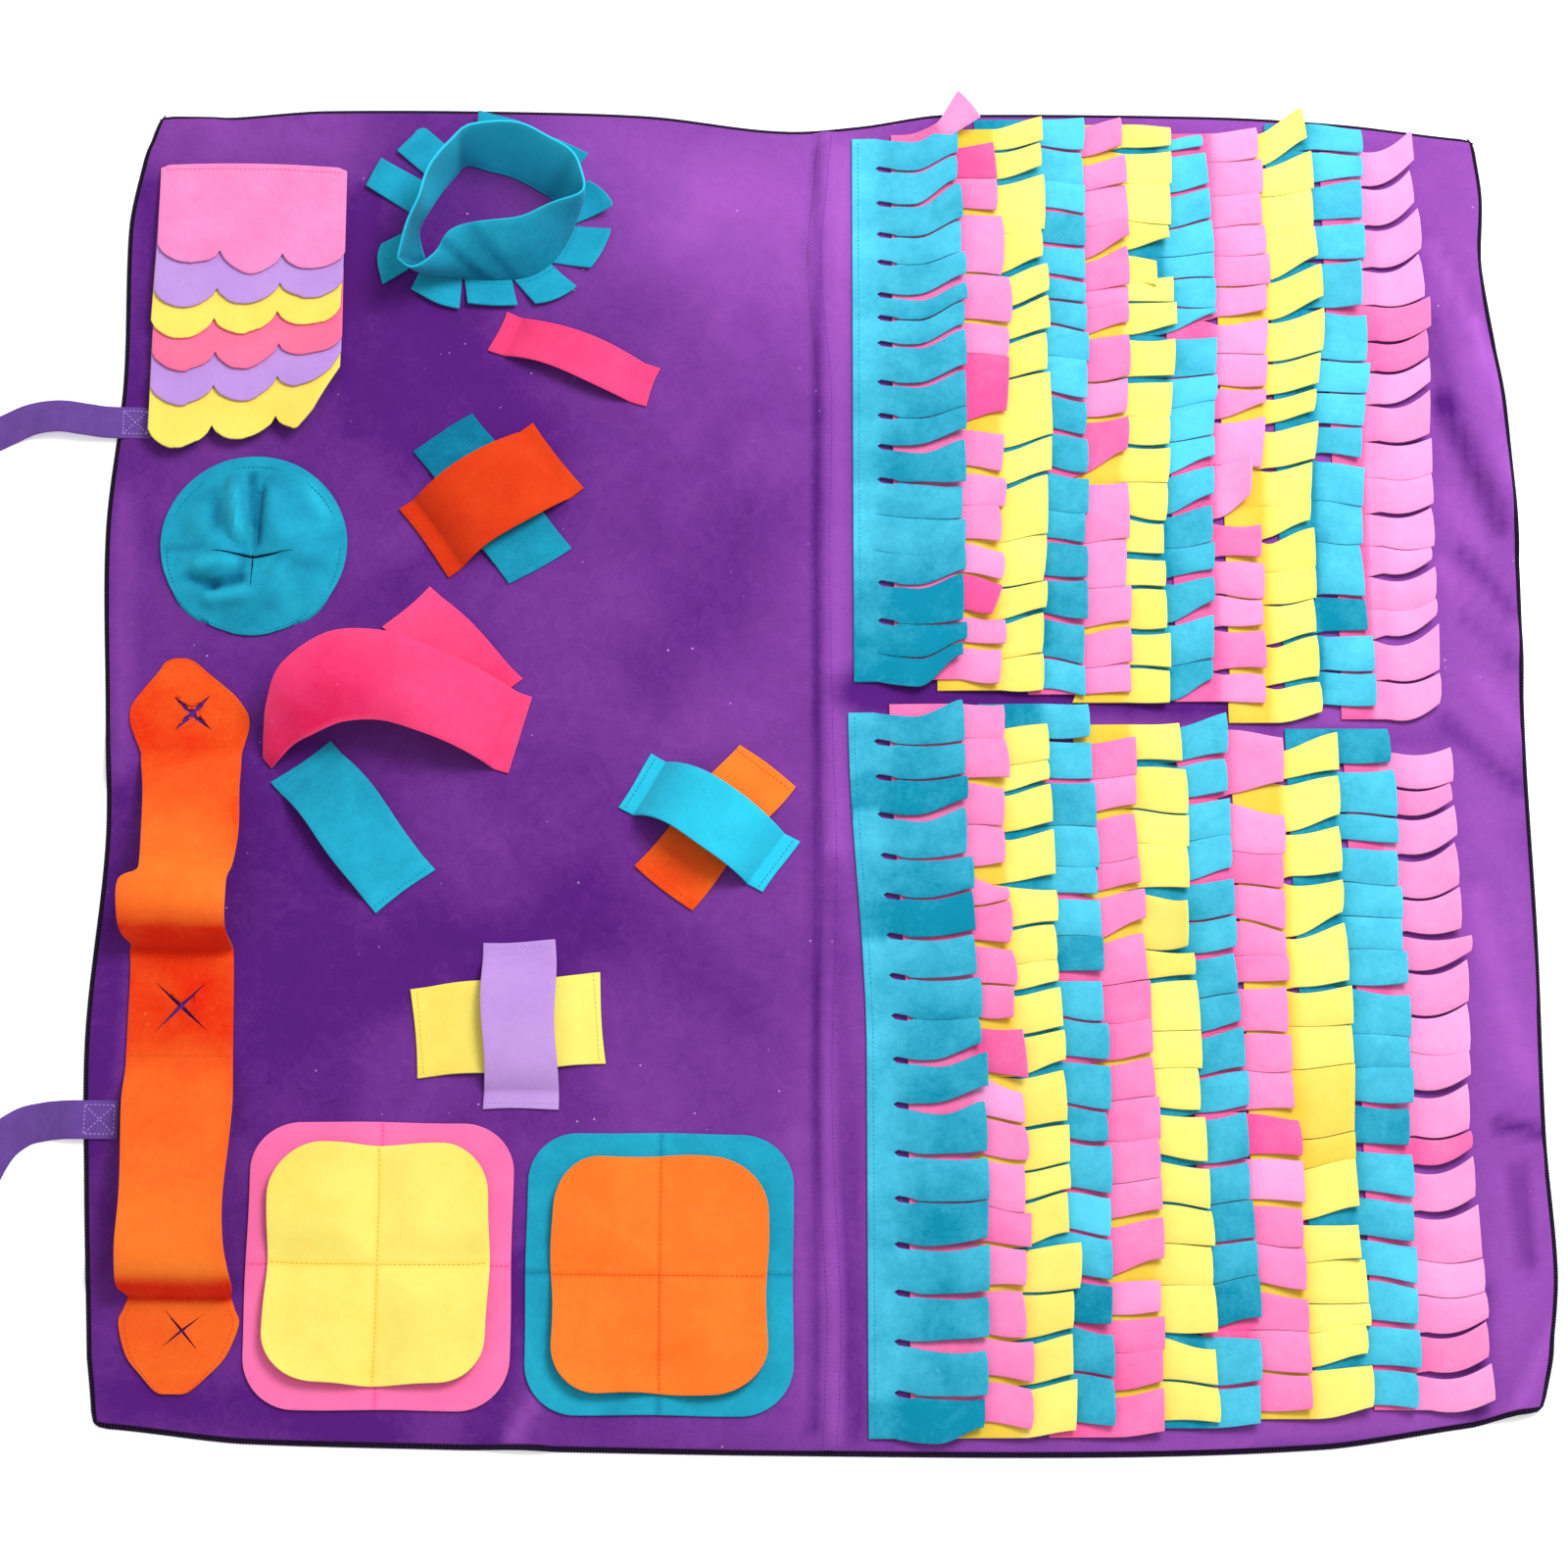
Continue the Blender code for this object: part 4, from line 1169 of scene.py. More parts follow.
    def strip(self, number: int) -> None:
        """Makes one strip.

        Args:
            number: Its place in the panel, from the left.
        """
        table = self.slits[number - 1]
        count = len(table) - 1
        rows = even_steps(0, count, count * self.across)
        name = f"fringe_{self.side.value}_{number:02d}"
        finish = self.finishes[(number - 1) % 3]
        length = table[0][0] - table[-1][0]
        felt = Sheet(f"{name}_felt", name, finish, (self.width, length), 0.97, soft_edge=0.35)
        felt.add_grid(self.columns, rows, lambda column, row: (column, row, 0))
        felt.part(lambda a, b: a.y == b.y and abs(a.y - round(a.y)) < 1e-4
                  and min(a.x, b.x) > self.spine - 0.01)
        for vert in felt.shape.verts:
            along, row = vert[felt.run].x / MM, vert[felt.run].y / MM
            tongue = min(int(felt.side_of(vert).y), count - 1)
            (x, y, z), tone = self.place(number, count - tongue, along, 1 - (row - tongue))
            vert.co = Vector((x, y, z)) * MM
            vert[felt.tone] = tone
        on_it = []
        if number == 1:
            seam = Seam(f"{name}_seam", TEAL_THREAD)
            path = []
            for y in even_steps(table[0][0] - 3, table[-1][0] + 3, 40):
                path.append((self.first_x + 4.5 + self.leaning(self.first_x, y), y, FELT_TOP + 0.25))
            seam.sew(path)
            on_it.append(seam.lay())
        felt.lay(on_it)

    def build(self) -> None:
        """Makes all the strips."""
        for number in range(1, len(self.slits) + 1):
            self.strip(number)


# --- The pieces on the left ------------------------------------------------------------------


@dataclass
class FlapStack:
    """Six scalloped flaps, each sewn along its top and lying over the next."""

    left: float = -500.0
    top: float = 459.0
    width: float = 140.0
    pitch: float = 27.0
    layer: float = LAYER + 0.5
    tips: Table = ((375, 366, 371), (337, 341, 348), (312, 317, 326), (286, 288, 302),
                   (258, 262, 275), (223, 232, 240))
    lobes: int = 3
    depth: float = 15.0
    # Where the right edge of each flap starts to slant in
    slants: Sequence[float] = (0, 0, 0, 0, 304, 292)
    finishes: Sequence[FeltFinish] = (LIGHT_PINK, LILAC, YELLOW, MID_PINK, LILAC, YELLOW)
    tones: Sequence[float] = (0.5, 0.52, 0.44, 0.5, 0.5, 0.46)
    bow: float = 2.5
    # From here to the right edge a flap is drawn in where it slants
    straight: float = 106.0

    def tip(self, number: int, x: float) -> float:
        """The lowest y of a flap's lobe at x."""
        place = min(max(self.lobes * x / self.width - 0.5, 0), self.lobes - 1)
        lobe = min(int(place), self.lobes - 2)
        tips = self.tips[number - 1]
        return tips[lobe] + (tips[lobe + 1] - tips[lobe]) * (place - lobe)

    def place(self, number: int, x: float, share: float) -> Point:
        """A point of a flap's underside.

        Args:
            number: The flap, from the top.
            x: The place from its left side.
            share: The place from its top, 0, to its scalloped edge, 1.

        Returns:
            The place.
        """
        top = self.top - self.pitch * (number - 1) + self.bow * math.sin(math.pi * x / self.width)
        lobe = abs(math.sin(math.pi * self.lobes * x / self.width)) ** 0.6
        bottom = self.tip(number, x) + self.depth * (1 - lobe) + 0.8 * uneven(number, int(x / 9)) * lobe
        y = top + (bottom - top) * share
        edge = self.width - 0.5 * min(max(self.slants[number - 1] - y, 0), 60)
        past = x - self.straight
        if past > 0:
            x = self.straight + past * (edge - self.straight) / (self.width - self.straight)
        lift = 9 * ease((x - 88) / 48) * ease((318 - y) / 60)
        lift += 3 * ease((12 - x) / 20) * ease((300 - y) / 70)
        wave = 0.35 * math.sin(x / 13 + number) * share
        corner = 2.5 * (1 - ease(min(x, self.width - x) / 7)) * (1 - ease(share * 6))
        return (self.left + x + 1.2 * uneven(number, 3) * share, y - corner,
                SEAT_Z + self.layer * (top - y) / self.pitch + lift + max(wave, 0))

    def build(self) -> None:
        """Makes the six flaps and their top seams."""
        for number in range(1, len(self.tips) + 1):
            finish = self.finishes[number - 1]
            top = self.top - self.pitch * (number - 1)
            length = top - min(self.tips[number - 1])
            felt = Sheet(f"flap_{number}_felt", f"flap_{number}", finish, (self.width, length), 0.93)
            columns = even_steps(0, self.width, 48)
            rows = [1, 0.97, 0.92, 0.85, 0.76, 0.66, 0.56, 0.46, 0.36, 0.26, 0.16, 0.08, 0.03, 0]
            felt.add_grid(columns, rows, lambda x, share, n=number: self.place(n, x, share),
                          self.tones[number - 1])
            seam = Seam(f"flap_{number}_seam", THREADS[finish.slot])
            path = []
            for x in even_steps(4, self.width - 4, 24):
                px, py, pz = self.place(number, x, 5 / length)
                path.append((px, py, pz + FELT_THICK + 0.1))
            seam.sew(path)
            felt.lay([seam.lay()])


@dataclass
class CrownRing:
    """A standing felt band with its foot slit into splayed tabs."""

    centre: tuple[float, float] = (-239, 416)
    bulge: float = 2.0
    # Angle, then x and y at the foot, then x, y and height of the rim
    rows: Table = ((-138, -60, -31, -78, -55, 50), (-115, -44, -42, -66, -58, 47),
                   (-95, -24, -46, -51, -47, 45), (-74, -2, -47, -40, -28, 47),
                   (-52, 18, -44, -12, -21, 47), (-30, 34, -33, 15, -15, 47),
                   (-10, 45, -15, 38, -5, 50), (10, 49, 2, 57, 4, 52),
                   (30, 40, 16, 55, 22, 54), (52, 24, 27, 42, 39, 54), (76, 6, 37, 19, 52, 54),
                   (100, -14, 43, -6, 58, 54), (120, -31, 47, -27, 53, 54), (130, -38, 39, -38, 44, 53),
                   (148, -47, 27, -50, 31, 53), (172, -57, 10, -60, 6, 52), (198, -65, -9, -69, -21, 51),
                   (222, -60, -31, -78, -55, 50))
    # Each tab's reach, the way it points, how much it widens and how far its tip lifts
    tabs: Table = ((28, -102, 9, 3), (24, -80, 2, 4), (28, -48, 4, 3), (30, -8, 2, 3), (32, 20, 0, 10),
                   (42, 46, 0, 12), (44, 84, 2, 8), (47, 139, 0, 2), (53, 150, -3, 3), (38, 215, 2, 3))
    # Painted shade in the folds of the wall: angle, half width in degrees, how much deeper the felt looks
    folds: Table = ((124, 7, 0.35), (40, 12, 0.3), (-84, 9, 0.3), (-62, 7, 0.2), (226, 14, 0.35),
                    (-130, 10, 0.3))

    def wall(self, degrees: float, share: float) -> Point:
        """A point of the band's inner face.

        Args:
            degrees: The angle about the centre.
            share: The place from the foot, 0, to the rim, 1.

        Returns:
            The place.
        """
        foot_x, foot_y, rim_x, rim_y, high = smooth_row(self.rows, degrees)
        angle = math.radians(degrees)
        bulge = self.bulge * math.sin(math.pi * share) * (1 + 0.7 * math.sin(angle * 5))
        out = bulge + 0.9 * math.sin(angle * 9 + 1) * share
        return (self.centre[0] + foot_x + (rim_x - foot_x) * share + out * math.cos(angle),
                self.centre[1] + foot_y + (rim_y - foot_y) * share + out * math.sin(angle),
                SEAT_Z + high * share)

    def tab(self, index: int, across: float, out: float) -> Point:
        """A point of a tab's underside.

        Args:
            index: The tab.
            across: The place across it, from 0 to 1.
            out: The place from its root, 0, to its tip, 1.

        Returns:
            The place.
        """
        reach, heading, widen, high = self.tabs[index]
        x, y, _ = self.wall(self.rows[0][0] + 360 / len(self.tabs) * (index + 0.02 + 0.96 * across), 0)
        way = math.radians(heading)
        side = widen * (across - 0.5) * out
        reach *= out * (1 + 0.06 * uneven(index, 2) * (across - 0.5))
        lift = high * out ** 2 + 1.5 * uneven(index, 6) * (across - 0.5) * out
        return (x + reach * math.cos(way) - side * math.sin(way),
                y + reach * math.sin(way) + side * math.cos(way), SEAT_Z + max(lift, 0))

    def build(self) -> None:
        """Makes the band, its tabs and the seam round its foot."""
        felt = Sheet("crown_ring_felt", "crown_ring", DEEP_TEAL, (400, 98), 0.9, held=Held.FOLDED)
        begin = self.rows[0][0]
        angles = even_steps(begin, begin + 360, 110)
        band = felt.add_grid(angles, even_steps(0, 1, 9), self.wall, 0.5)
        for vert in band:
            degrees, share = vert[felt.run].x / MM, vert[felt.run].y / MM
            # Painted light toward the rim and on the back wall, painted shade in the folds
            back = ease((smooth_row(self.rows, degrees)[1] + 8) / 26)
            deep = sum(fold * ease(1 - abs(degrees - at) / half) for at, half, fold in self.folds)
            vert[felt.tone] = min(max(0.2 + 0.28 * share + 0.65 * back - deep, 0), 1)
        bmesh.ops.remove_doubles(felt.shape, verts=band, dist=1e-6)
        seam = Seam("crown_ring_seam", TEAL_THREAD)
        for index in range(len(self.tabs)):
            made = felt.add_grid(even_steps(0, 1, 8), [0, 0.12, 0.3, 0.5, 0.7, 0.86, 1],
                                 lambda across, out, i=index: self.tab(i, across, out), 0.45)
            bmesh.ops.reverse_faces(felt.shape, faces=list({f for vert in made for f in vert.link_faces}))
            path = []
            for across in even_steps(0.06, 0.94, 8):
                px, py, pz = self.tab(index, across, 4.5 / self.tabs[index][0])
                path.append((px, py, pz + FELT_THICK + 0.1))
            seam.sew(path)
        felt.lay([seam.lay()])


@dataclass
class SlitDisc:
    """A round pocket sewn round its edge, slit both ways across its raised middle."""

    centre: tuple[float, float] = (-418, 151)
    radii: tuple[float, float] = (68, 70)
    rise: float = 13.0
    shoulder: float = 1.5
    dimple: tuple[float, float] = (7.0, 0.22)
    drop: float = 13.0
    # Half of each slit's length, as a share of the disc's half width
    slits: tuple[float, float] = (0.46, 0.42)
    sewn_at: float = 0.93
    # Puckers: both ends and height and half width, from the disc's middle
    puckers: Sequence[Any] = (
        (((-16, 50), (-10, 4)), 9.0, 9), (((5, 44), (4, 0)), -6, 6), (((8, 46), (20, 2)), 2.6, 10),
        (((-46, 18), (-22, -6)), 3.0, 12), (((-30, 30), (-24, 4)), -2.5, 9),
        (((-38, -20), (-10, -19)), 4, 8), (((-43, -28), (-27, -35)), -4.5, 8),
        (((-27, -35), (-8, -31)), -5, 8), (((-30, -46), (-2, -44)), 3, 8),
        (((14, -44), (22, -22)), 3.0, 10), (((48, -10), (26, -14)), 2.4, 10),
        (((40, 34), (24, 12)), 2.4, 11),
    )
    # Painted light and shade along the puckers and the slit: both ends, how much and half width
    light_and_shade: Sequence[Any] = (
        (((5, 40), (3, -3)), -0.7, 5), (((-3, 54), (0, 14)), -0.4, 7), (((-18, 36), (-10, 2)), 0.35, 7),
        (((-29, 40), (-27, 8)), -0.26, 9), (((14, 50), (34, 40)), -0.14, 12),
        (((41, 45), (49, 28)), 0.3, 12),
        (((-46, -27), (-28, -35)), -0.42, 8), (((-28, -35), (-9, -31)), -0.5, 8),
        (((-38, -20), (-15, -18)), 0.24, 8), (((-6, -12), (-8, -28)), -0.24, 6),
        (((20, 6), (52, 14)), 0.12, 12), (((24, -14), (54, -20)), -0.12, 10),
        (((14, -20), (29, -48)), 0.2, 14), (((-64, -4), (-37, -6)), -0.2, 5),
        (((-30, -44), (-5, -42)), 0.2, 6),
    )

    def place(self, u: float, v: float) -> Point:
        """A point of the disc's underside.

        Args:
            u: The place from left, -1, to right, 1.
            v: The place from bottom, -1, to top, 1.

        Returns:
            The place.
        """
        x, y = u * math.sqrt(1 - v * v / 2), v * math.sqrt(1 - u * u / 2)
        inward = max(1 - math.hypot(x, y), 0)
        rise = self.rise * ease(self.shoulder * inward)
        rise -= self.dimple[0] * math.exp(-(x ** 2 + y ** 2) / self.dimple[1] ** 2)
        px, py = self.radii[0] * x, self.radii[1] * y - self.drop * math.sqrt(inward)
        rise += sum(ridge(px, py, *pucker) for pucker in self.puckers) * ease(inward * 3)
        edge = 0.7 * math.sin(7 * math.atan2(y, x)) * ease(inward * 6 + 0.4)
        return self.centre[0] + px, self.centre[1] + py, SEAT_Z + max(rise + edge, 0)

    def build(self) -> None:
        """Makes the disc and the seam round it."""
        felt = Sheet("slit_disc_felt", "slit_disc", DEEP_TEAL, (140, 142), 0.785, held=Held.STRETCHED)
        lines = even_steps(-1, 1, 44)
        felt.add_grid(lines, lines, self.place, 0.42)

        def on_slit(a: Vector, b: Vector) -> bool:
            """Tells if an edge is on one of the two slits."""
            flat = max(abs(a.y), abs(b.y)) < NEAR and max(abs(a.x), abs(b.x)) < self.slits[0]
            return flat or max(abs(a.x), abs(b.x)) < NEAR and max(abs(a.y), abs(b.y)) < self.slits[1]

        felt.part(on_slit)
        for vert in felt.shape.verts:
            u, v = vert[felt.run].x / MM, vert[felt.run].y / MM
            side = felt.side_of(vert)
            x, y = vert.co.x / MM - self.centre[0], vert.co.y / MM - self.centre[1]
            # Painted light and shade along the puckers and the slit
            shade = 0.38 + sum(ridge(x, y, *line) for line in self.light_and_shade)
            vert[felt.tone] = min(max(shade, 0.0), 1.0)
            if abs(v) < NEAR and abs(u) < self.slits[0]:
                open_by = 1 - abs(u / self.slits[0]) ** 1.6
                vert.co.y += math.copysign(1.5 if side.y > 0 else 0.9, side.y) * open_by * MM
                vert.co.z += (1.2 if side.y > 0 else -1.4) * open_by * MM
            if abs(u) < NEAR and abs(v) < self.slits[1]:
                vert.co.x += math.copysign(0.55, side.x) * (1 - abs(v / self.slits[1])) * MM
        seam = Seam("slit_disc_seam", TEAL_THREAD)
        path = []
        inward = 1 - self.sewn_at
        for angle in even_steps(0, 2 * math.pi, 90):
            x, y = self.sewn_at * math.cos(angle), self.sewn_at * math.sin(angle)
            px, py = self.radii[0] * x, self.radii[1] * y - self.drop * math.sqrt(inward)
            path.append((self.centre[0] + px, self.centre[1] + py,
                         FELT_TOP + self.rise * ease(self.shoulder * inward) + 0.2))
        seam.sew(path)
        felt.lay([seam.lay()])


@dataclass
class ArchStrip:
    """One long felt strip that is sewn flat at three patches and arches up between them."""

    # From the top to the bottom: y, height of the underside, left edge, right edge
    rows: Table = (
        (61, 0, -471, -463), (58, 0, -478, -456), (50, 0, -483, -447), (34, 0, -495, -428),
        (24, 0, -501, -420), (16, 0, -502, -416), (6, 0, -500, -416), (-11, 0, -493, -420),
        (-20, 2, -492, -420), (-40, 10, -490, -419), (-75, 22, -487, -418), (-105, 33, -485, -421),
        (-114, 36, -487, -424), (-120, 37, -499, -425), (-141, 34, -500, -425), (-152, 23, -498, -424),
        (-157, 10, -492, -421),
        (-160, 0, -493, -420), (-178, 0, -492, -419), (-210, 0, -492, -418), (-242, 0, -492, -417),
        (-252, 2, -492, -416.5), (-272, 9, -492, -416), (-312, 19, -491, -416), (-350, 28, -490, -417),
        (-378, 31, -490, -416), (-396, 27, -489, -413), (-405, 17, -488, -411), (-408, 8, -484, -411),
        (-411, 0, -482, -411), (-420, 0, -485, -408), (-430, 0, -488, -405), (-452, 0, -482, -413),
        (-466, 0, -471, -425), (-477, 0, -461, -437), (-479, 0, -455, -443),
    )
    crosses: Table = ((-457, 19, 20, -42, 3.4), (-455, -202, 27, 47, 2.0), (-444, -435, 21, -50, 1.1))
    # How pale the felt is down the strip, with painted light on the arches' crests and painted shade in the
    # folds at their feet
    light_and_shade: Table = ((-480, 0.62), (-420, 0.55), (-395, 0.82), (-320, 0.66), (-260, 0.5), (-242, 0.3),
                     (-222, 0.12), (-168, 0.16), (-158, 0.1), (-148, 0.4), (-130, 0.75), (-90, 0.6),
                     (-20, 0.4), (0, 0.16), (62, 0.3))
    seam_rows: Sequence[float] = (-7, -165, -238, -415)

    def place(self, across: float, row: float) -> Point:
        """A point of the strip's underside.

        Args:
            across: The place from left, 0, to right, 1.
            row: The place down the table.

        Returns:
            The place.
        """
        y, height, left, right = smooth_row(numbered(self.rows), row)
        height = max(height, 0)
        side = 2 * across - 1
        sway = 1.6 * math.sin(y / 24) * ease(height / 12) * (1 if across > 0.5 else -1) * abs(side)
        crown = 1.2 * (1 - side ** 2) * ease(height / 20)
        return left + (right - left) * across + sway * 0.6, y + 0.8 * math.sin(side * 4 + row) * ease(
            height / 20), SEAT_Z + height + crown

    def build(self) -> None:
        """Makes the strip, its slit crosses and its seams."""
        felt = Sheet("arch_strip_felt", "arch_strip", ORANGE, (86, 585), 0.82, held=Held.GATHERED)
        rows = even_steps(len(self.rows) - 1, 0, (len(self.rows) - 1) * 4)
        felt.add_grid(even_steps(0, 1, 16), rows, self.place, 0.62)
        for vert in felt.shape.verts:
            height = vert.co.z / MM - SEAT_Z
            y = vert.co.y / MM
            # Painted shade in the folds at the arches' feet, and on the right side of the raised parts
            fold_shade = ease((-y - 146) / 10) * ease((y + 166) / 6) + ease((-y - 398) / 9) * ease((y + 417) / 6)
            side = vert.co.x / MM + 455 + 0.02 * y
            tone = smooth_row(self.light_and_shade, y)[0] - 0.8 * fold_shade
            tone -= 0.2 * ease((side - 22) / 16) * ease(height / 5)
            vert[felt.tone] = min(max(tone + 0.08 * math.sin(y / 23 + side / 30), 0.0), 1.0)
        for x, y, half, turn, gape in self.crosses:
            felt.cross((x, y, SEAT_Z), half, turn, gape, 2.2)
        seam = Seam("arch_strip_seam", ORANGE_THREAD)
        for y in self.seam_rows:
            row = min((abs(self.rows[i][0] - y), i) for i in range(len(self.rows)))[1]
            left, right = self.rows[row][2:]
            seam.sew([(left + 3, y, FELT_TOP + 0.1), (right - 3, y, FELT_TOP + 0.1)])
        for begin, end in ((0, 7), (29, 35)):
            for side in (0.05, 0.95):
                path = []
                for row in even_steps(begin + 0.6, end - 0.4, 30):
                    px, py, _ = self.place(side, row)
                    path.append((px, py, FELT_TOP + 0.1))
                seam.sew(path)
        felt.lay([seam.lay()])


@dataclass
class Pad:
    """A rounded felt square sewn down along a cross, with its quarters puffed."""

    node: str
    centre: tuple[float, float]
    half: tuple[float, float]
    layer: int
    puff: float
    finish: FeltFinish
    under: str
    corner: float = 36.0
    reach: float = 30.0
    ripples: tuple[float, int] = (1.1, 6)
    tone: float = 0.6

    def place(self, u: float, v: float) -> Point:
        """A point of the pad's underside.

        Args:
            u: The place from left, -1, to right, 1.
            v: The place from bottom, -1, to top, 1.

        Returns:
            The place.
        """
        x, y = self.half[0] * u, self.half[1] * v
        corner_x, corner_y = (max(1 - (half - abs(at)) / self.corner, 0)
                              for half, at in zip(self.half, (x, y)))
        x -= math.copysign(self.corner * corner_x * (1 - math.sqrt(1 - corner_y ** 2 / 2)), x)
        y -= math.copysign(self.corner * corner_y * (1 - math.sqrt(1 - corner_x ** 2 / 2)), y)
        edge = max(abs(u), abs(v))
        around = math.atan2(v, u)
        wave = self.ripples[0] * math.sin(self.ripples[1] * around + self.half[0]) * edge ** 4
        wave *= self.layer or 0.35
        off = min(abs(x), abs(y))
        far = ease(off / self.reach)
        dent = 0.5 * ease(1 - off / 5) * self.layer
        flare = 2.2 * self.layer * ease((edge - 0.78) / 0.22) * (0.6 + 0.4 * math.sin(3 * around + 2.6))
        return (self.centre[0] + x + wave, self.centre[1] + y + wave,
                SEAT_Z + LAYER * self.layer + self.puff * far - dent * 0.4 + flare)

    def build(self) -> bpy.types.Object:
        """Makes the pad and its seams.

        Returns:
            The pad's piece.
        """
        felt = Sheet(f"{self.node}_felt", self.node, self.finish,
                     (2 * self.half[0], 2 * self.half[1]), 0.95, rests_on=(self.under,))
        lines = [-1, -0.98, -0.94, -0.89, -0.83, -0.77, -0.71, -0.65, -0.57, -0.47, -0.37, -0.28, -0.2,
                 -0.13, -0.08, -0.045, -0.018]
        lines = lines + [0] + [-line for line in reversed(lines)]
        felt.add_grid(lines, lines, self.place, 0.66)
        for vert in felt.shape.verts:
            u, v = vert[felt.run].x / MM, vert[felt.run].y / MM
            # Painted shade along the seam grooves; the tone also varies slowly across the pad
            seam_shade = 0.22 * ease(1 - min(abs(u), abs(v)) / 0.04)
            vert[felt.tone] = self.tone - seam_shade + 0.05 * math.sin(u * 3 + v * 2)
        seam = Seam(f"{self.node}_seam", THREADS[self.finish.slot])
        for along_u in (True, False):
            path = []
            for share in even_steps(-0.97, 0.97, 40):
                px, py, pz = self.place(*((share, 0) if along_u else (0, share)))
                path.append((px, py, pz + FELT_THICK + 0.1))
            seam.sew(path)
        return felt.lay([seam.lay()])


@dataclass
class Tunnel:
    """A strip sewn flat at both ends and free between them."""

    node: str
    end: tuple[float, float]
    turn: float
    length: float
    width: float
    rise: float
    finish: FeltFinish
    # How pale the felt is at its first end and at its last: a gradient that paints shade and light along
    # the strip
    tones: tuple[float, float] = (0.6, 0.6)
    tab: float = 13.0
    square: float = 3.0

    def place(self, along: float, across: float) -> Point:
        """A point of the strip's underside.

        Args:
            along: The place along it.
            across: The place across it, from -0.5 to 0.5.

        Returns:
            The place.
        """
        angle = math.radians(self.turn)
        run = (math.cos(angle), math.sin(angle))
        free = self.length - 2 * self.tab
        off_centre = abs(2 * (along - self.tab) / free - 1)
        height = self.rise * max(1 - off_centre ** self.square, 0)
        loose = ease(height / 8)
        wide = self.width * across + 1.2 * math.sin(along / 15 + self.width + 2 * across) * across * 2
        along += 1.3 * math.sin(3.2 * across + self.turn) * (2 * along / self.length - 1)
        droop = 0.8 * math.sin(along / 21 + 4 * across) * loose
        return (self.end[0] + run[0] * along - run[1] * wide, self.end[1] + run[1] * along + run[0] * wide,
                SEAT_Z + height + max(droop, 0) * (across + 0.5))

    def build(self) -> None:
        """Makes the strip and the seams across its two ends."""
        flat = (self.width, self.length + self.rise / 3)
        felt = Sheet(f"{self.node}_felt", self.node, self.finish, flat, held=Held.STRETCHED)
        end = [0, 2, 5, 9, self.tab]
        columns = [*end, *even_steps(self.tab + 2, self.length - self.tab - 2, 26),
                   *(self.length - along for along in reversed(end))]
        for vert in felt.add_grid(columns, even_steps(-0.5, 0.5, 10), self.place):
            share = vert[felt.run].x / MM / self.length
            # Painted shade and light, from one end's tone to the other's
            vert[felt.tone] = self.tones[0] + (self.tones[1] - self.tones[0]) * ease(share)
        seam = Seam(f"{self.node}_seam", THREADS[self.finish.slot])
        for along in (4.5, self.length - 4.5):
            path = []
            for across in (-0.46, 0.46):
                px, py, pz = self.place(along, across)
                path.append((px, py, pz + FELT_THICK + 0.1))
            seam.sew(path)
        felt.lay([seam.lay()])


@dataclass
class GatheredArch:
    """A wide strip gathered to a point at one end, which stands up over the strip it crosses."""

    crown: float = 0.06
    # x, y and height over the seat of both edges
    rows: Sequence[Any] = (
        ((-404, -14, 0), (-398, -22, 0)), ((-403, 4, 13), (-391, -16, 7)),
        ((-401, 22, 25), (-382, -9, 14)), ((-391, 45, 38), (-368, -4, 23)),
        ((-359, 66, 45), (-346, 3, 32)), ((-322, 68, 45), (-319, 4, 34)),
        ((-293, 61, 39), (-293, -3, 32)), ((-262, 52, 28), (-270, -10, 24)),
        ((-236, 43, 12), (-249, -17, 10)), ((-224, 39, 1), (-238, -21, 0)),
        ((-212, 35, 0), (-228, -24, 0)),
    )

    def place(self, row: float, across: float) -> Point:
        """A point of the strip's underside.

        Args:
            row: The place down the table.
            across: The place from the lower edge, 0, to the upper edge, 1.

        Returns:
            The place.
        """
        values = smooth_row(numbered([(*a, *b) for a, b in self.rows]), row)
        upper, lower = Vector(values[:3]), Vector(values[3:])
        spot = lower.lerp(upper, across)
        width = (upper - lower).xy.length
        spot.z = max(spot.z, 0)
        if spot.z > 2:
            spot.z += self.crown * width * 4 * across * (1 - across)
            spot.z += 0.9 * math.sin(across * 9 + row) * ease(spot.z / 20)
        return spot.x, spot.y, SEAT_Z + spot.z

    def build(self) -> None:
        """Makes the strip and the seams at its ends."""
        felt = Sheet("cross_b_over_felt", "cross_b_over", HOT_PINK, (72, 225), 0.85, held=Held.GATHERED)
        rows = even_steps(0, len(self.rows) - 1, (len(self.rows) - 1) * 5)
        for vert in felt.add_grid(rows, even_steps(0, 1, 14), self.place):
            row, across = vert[felt.run].x / MM, vert[felt.run].y / MM
            # Painted shade inside the gathered end, deeper toward its lower edge
            inner_shade = max(0.0, 1 - across) ** 0.7 * ease(across / 0.1 + 0.2)
            vert[felt.tone] = 0.55 - 0.55 * inner_shade * ease((6.5 - row) / 3)
        seam = Seam("cross_b_over_seam", PINK_THREAD)
        for row in (0.25, 9.6):
            path = []
            for across in even_steps(0.08, 0.92, 8):
                px, py, pz = self.place(row, across)
                path.append((px, py, pz + FELT_THICK + 0.1))
            seam.sew(path)
        felt.lay([seam.lay()])


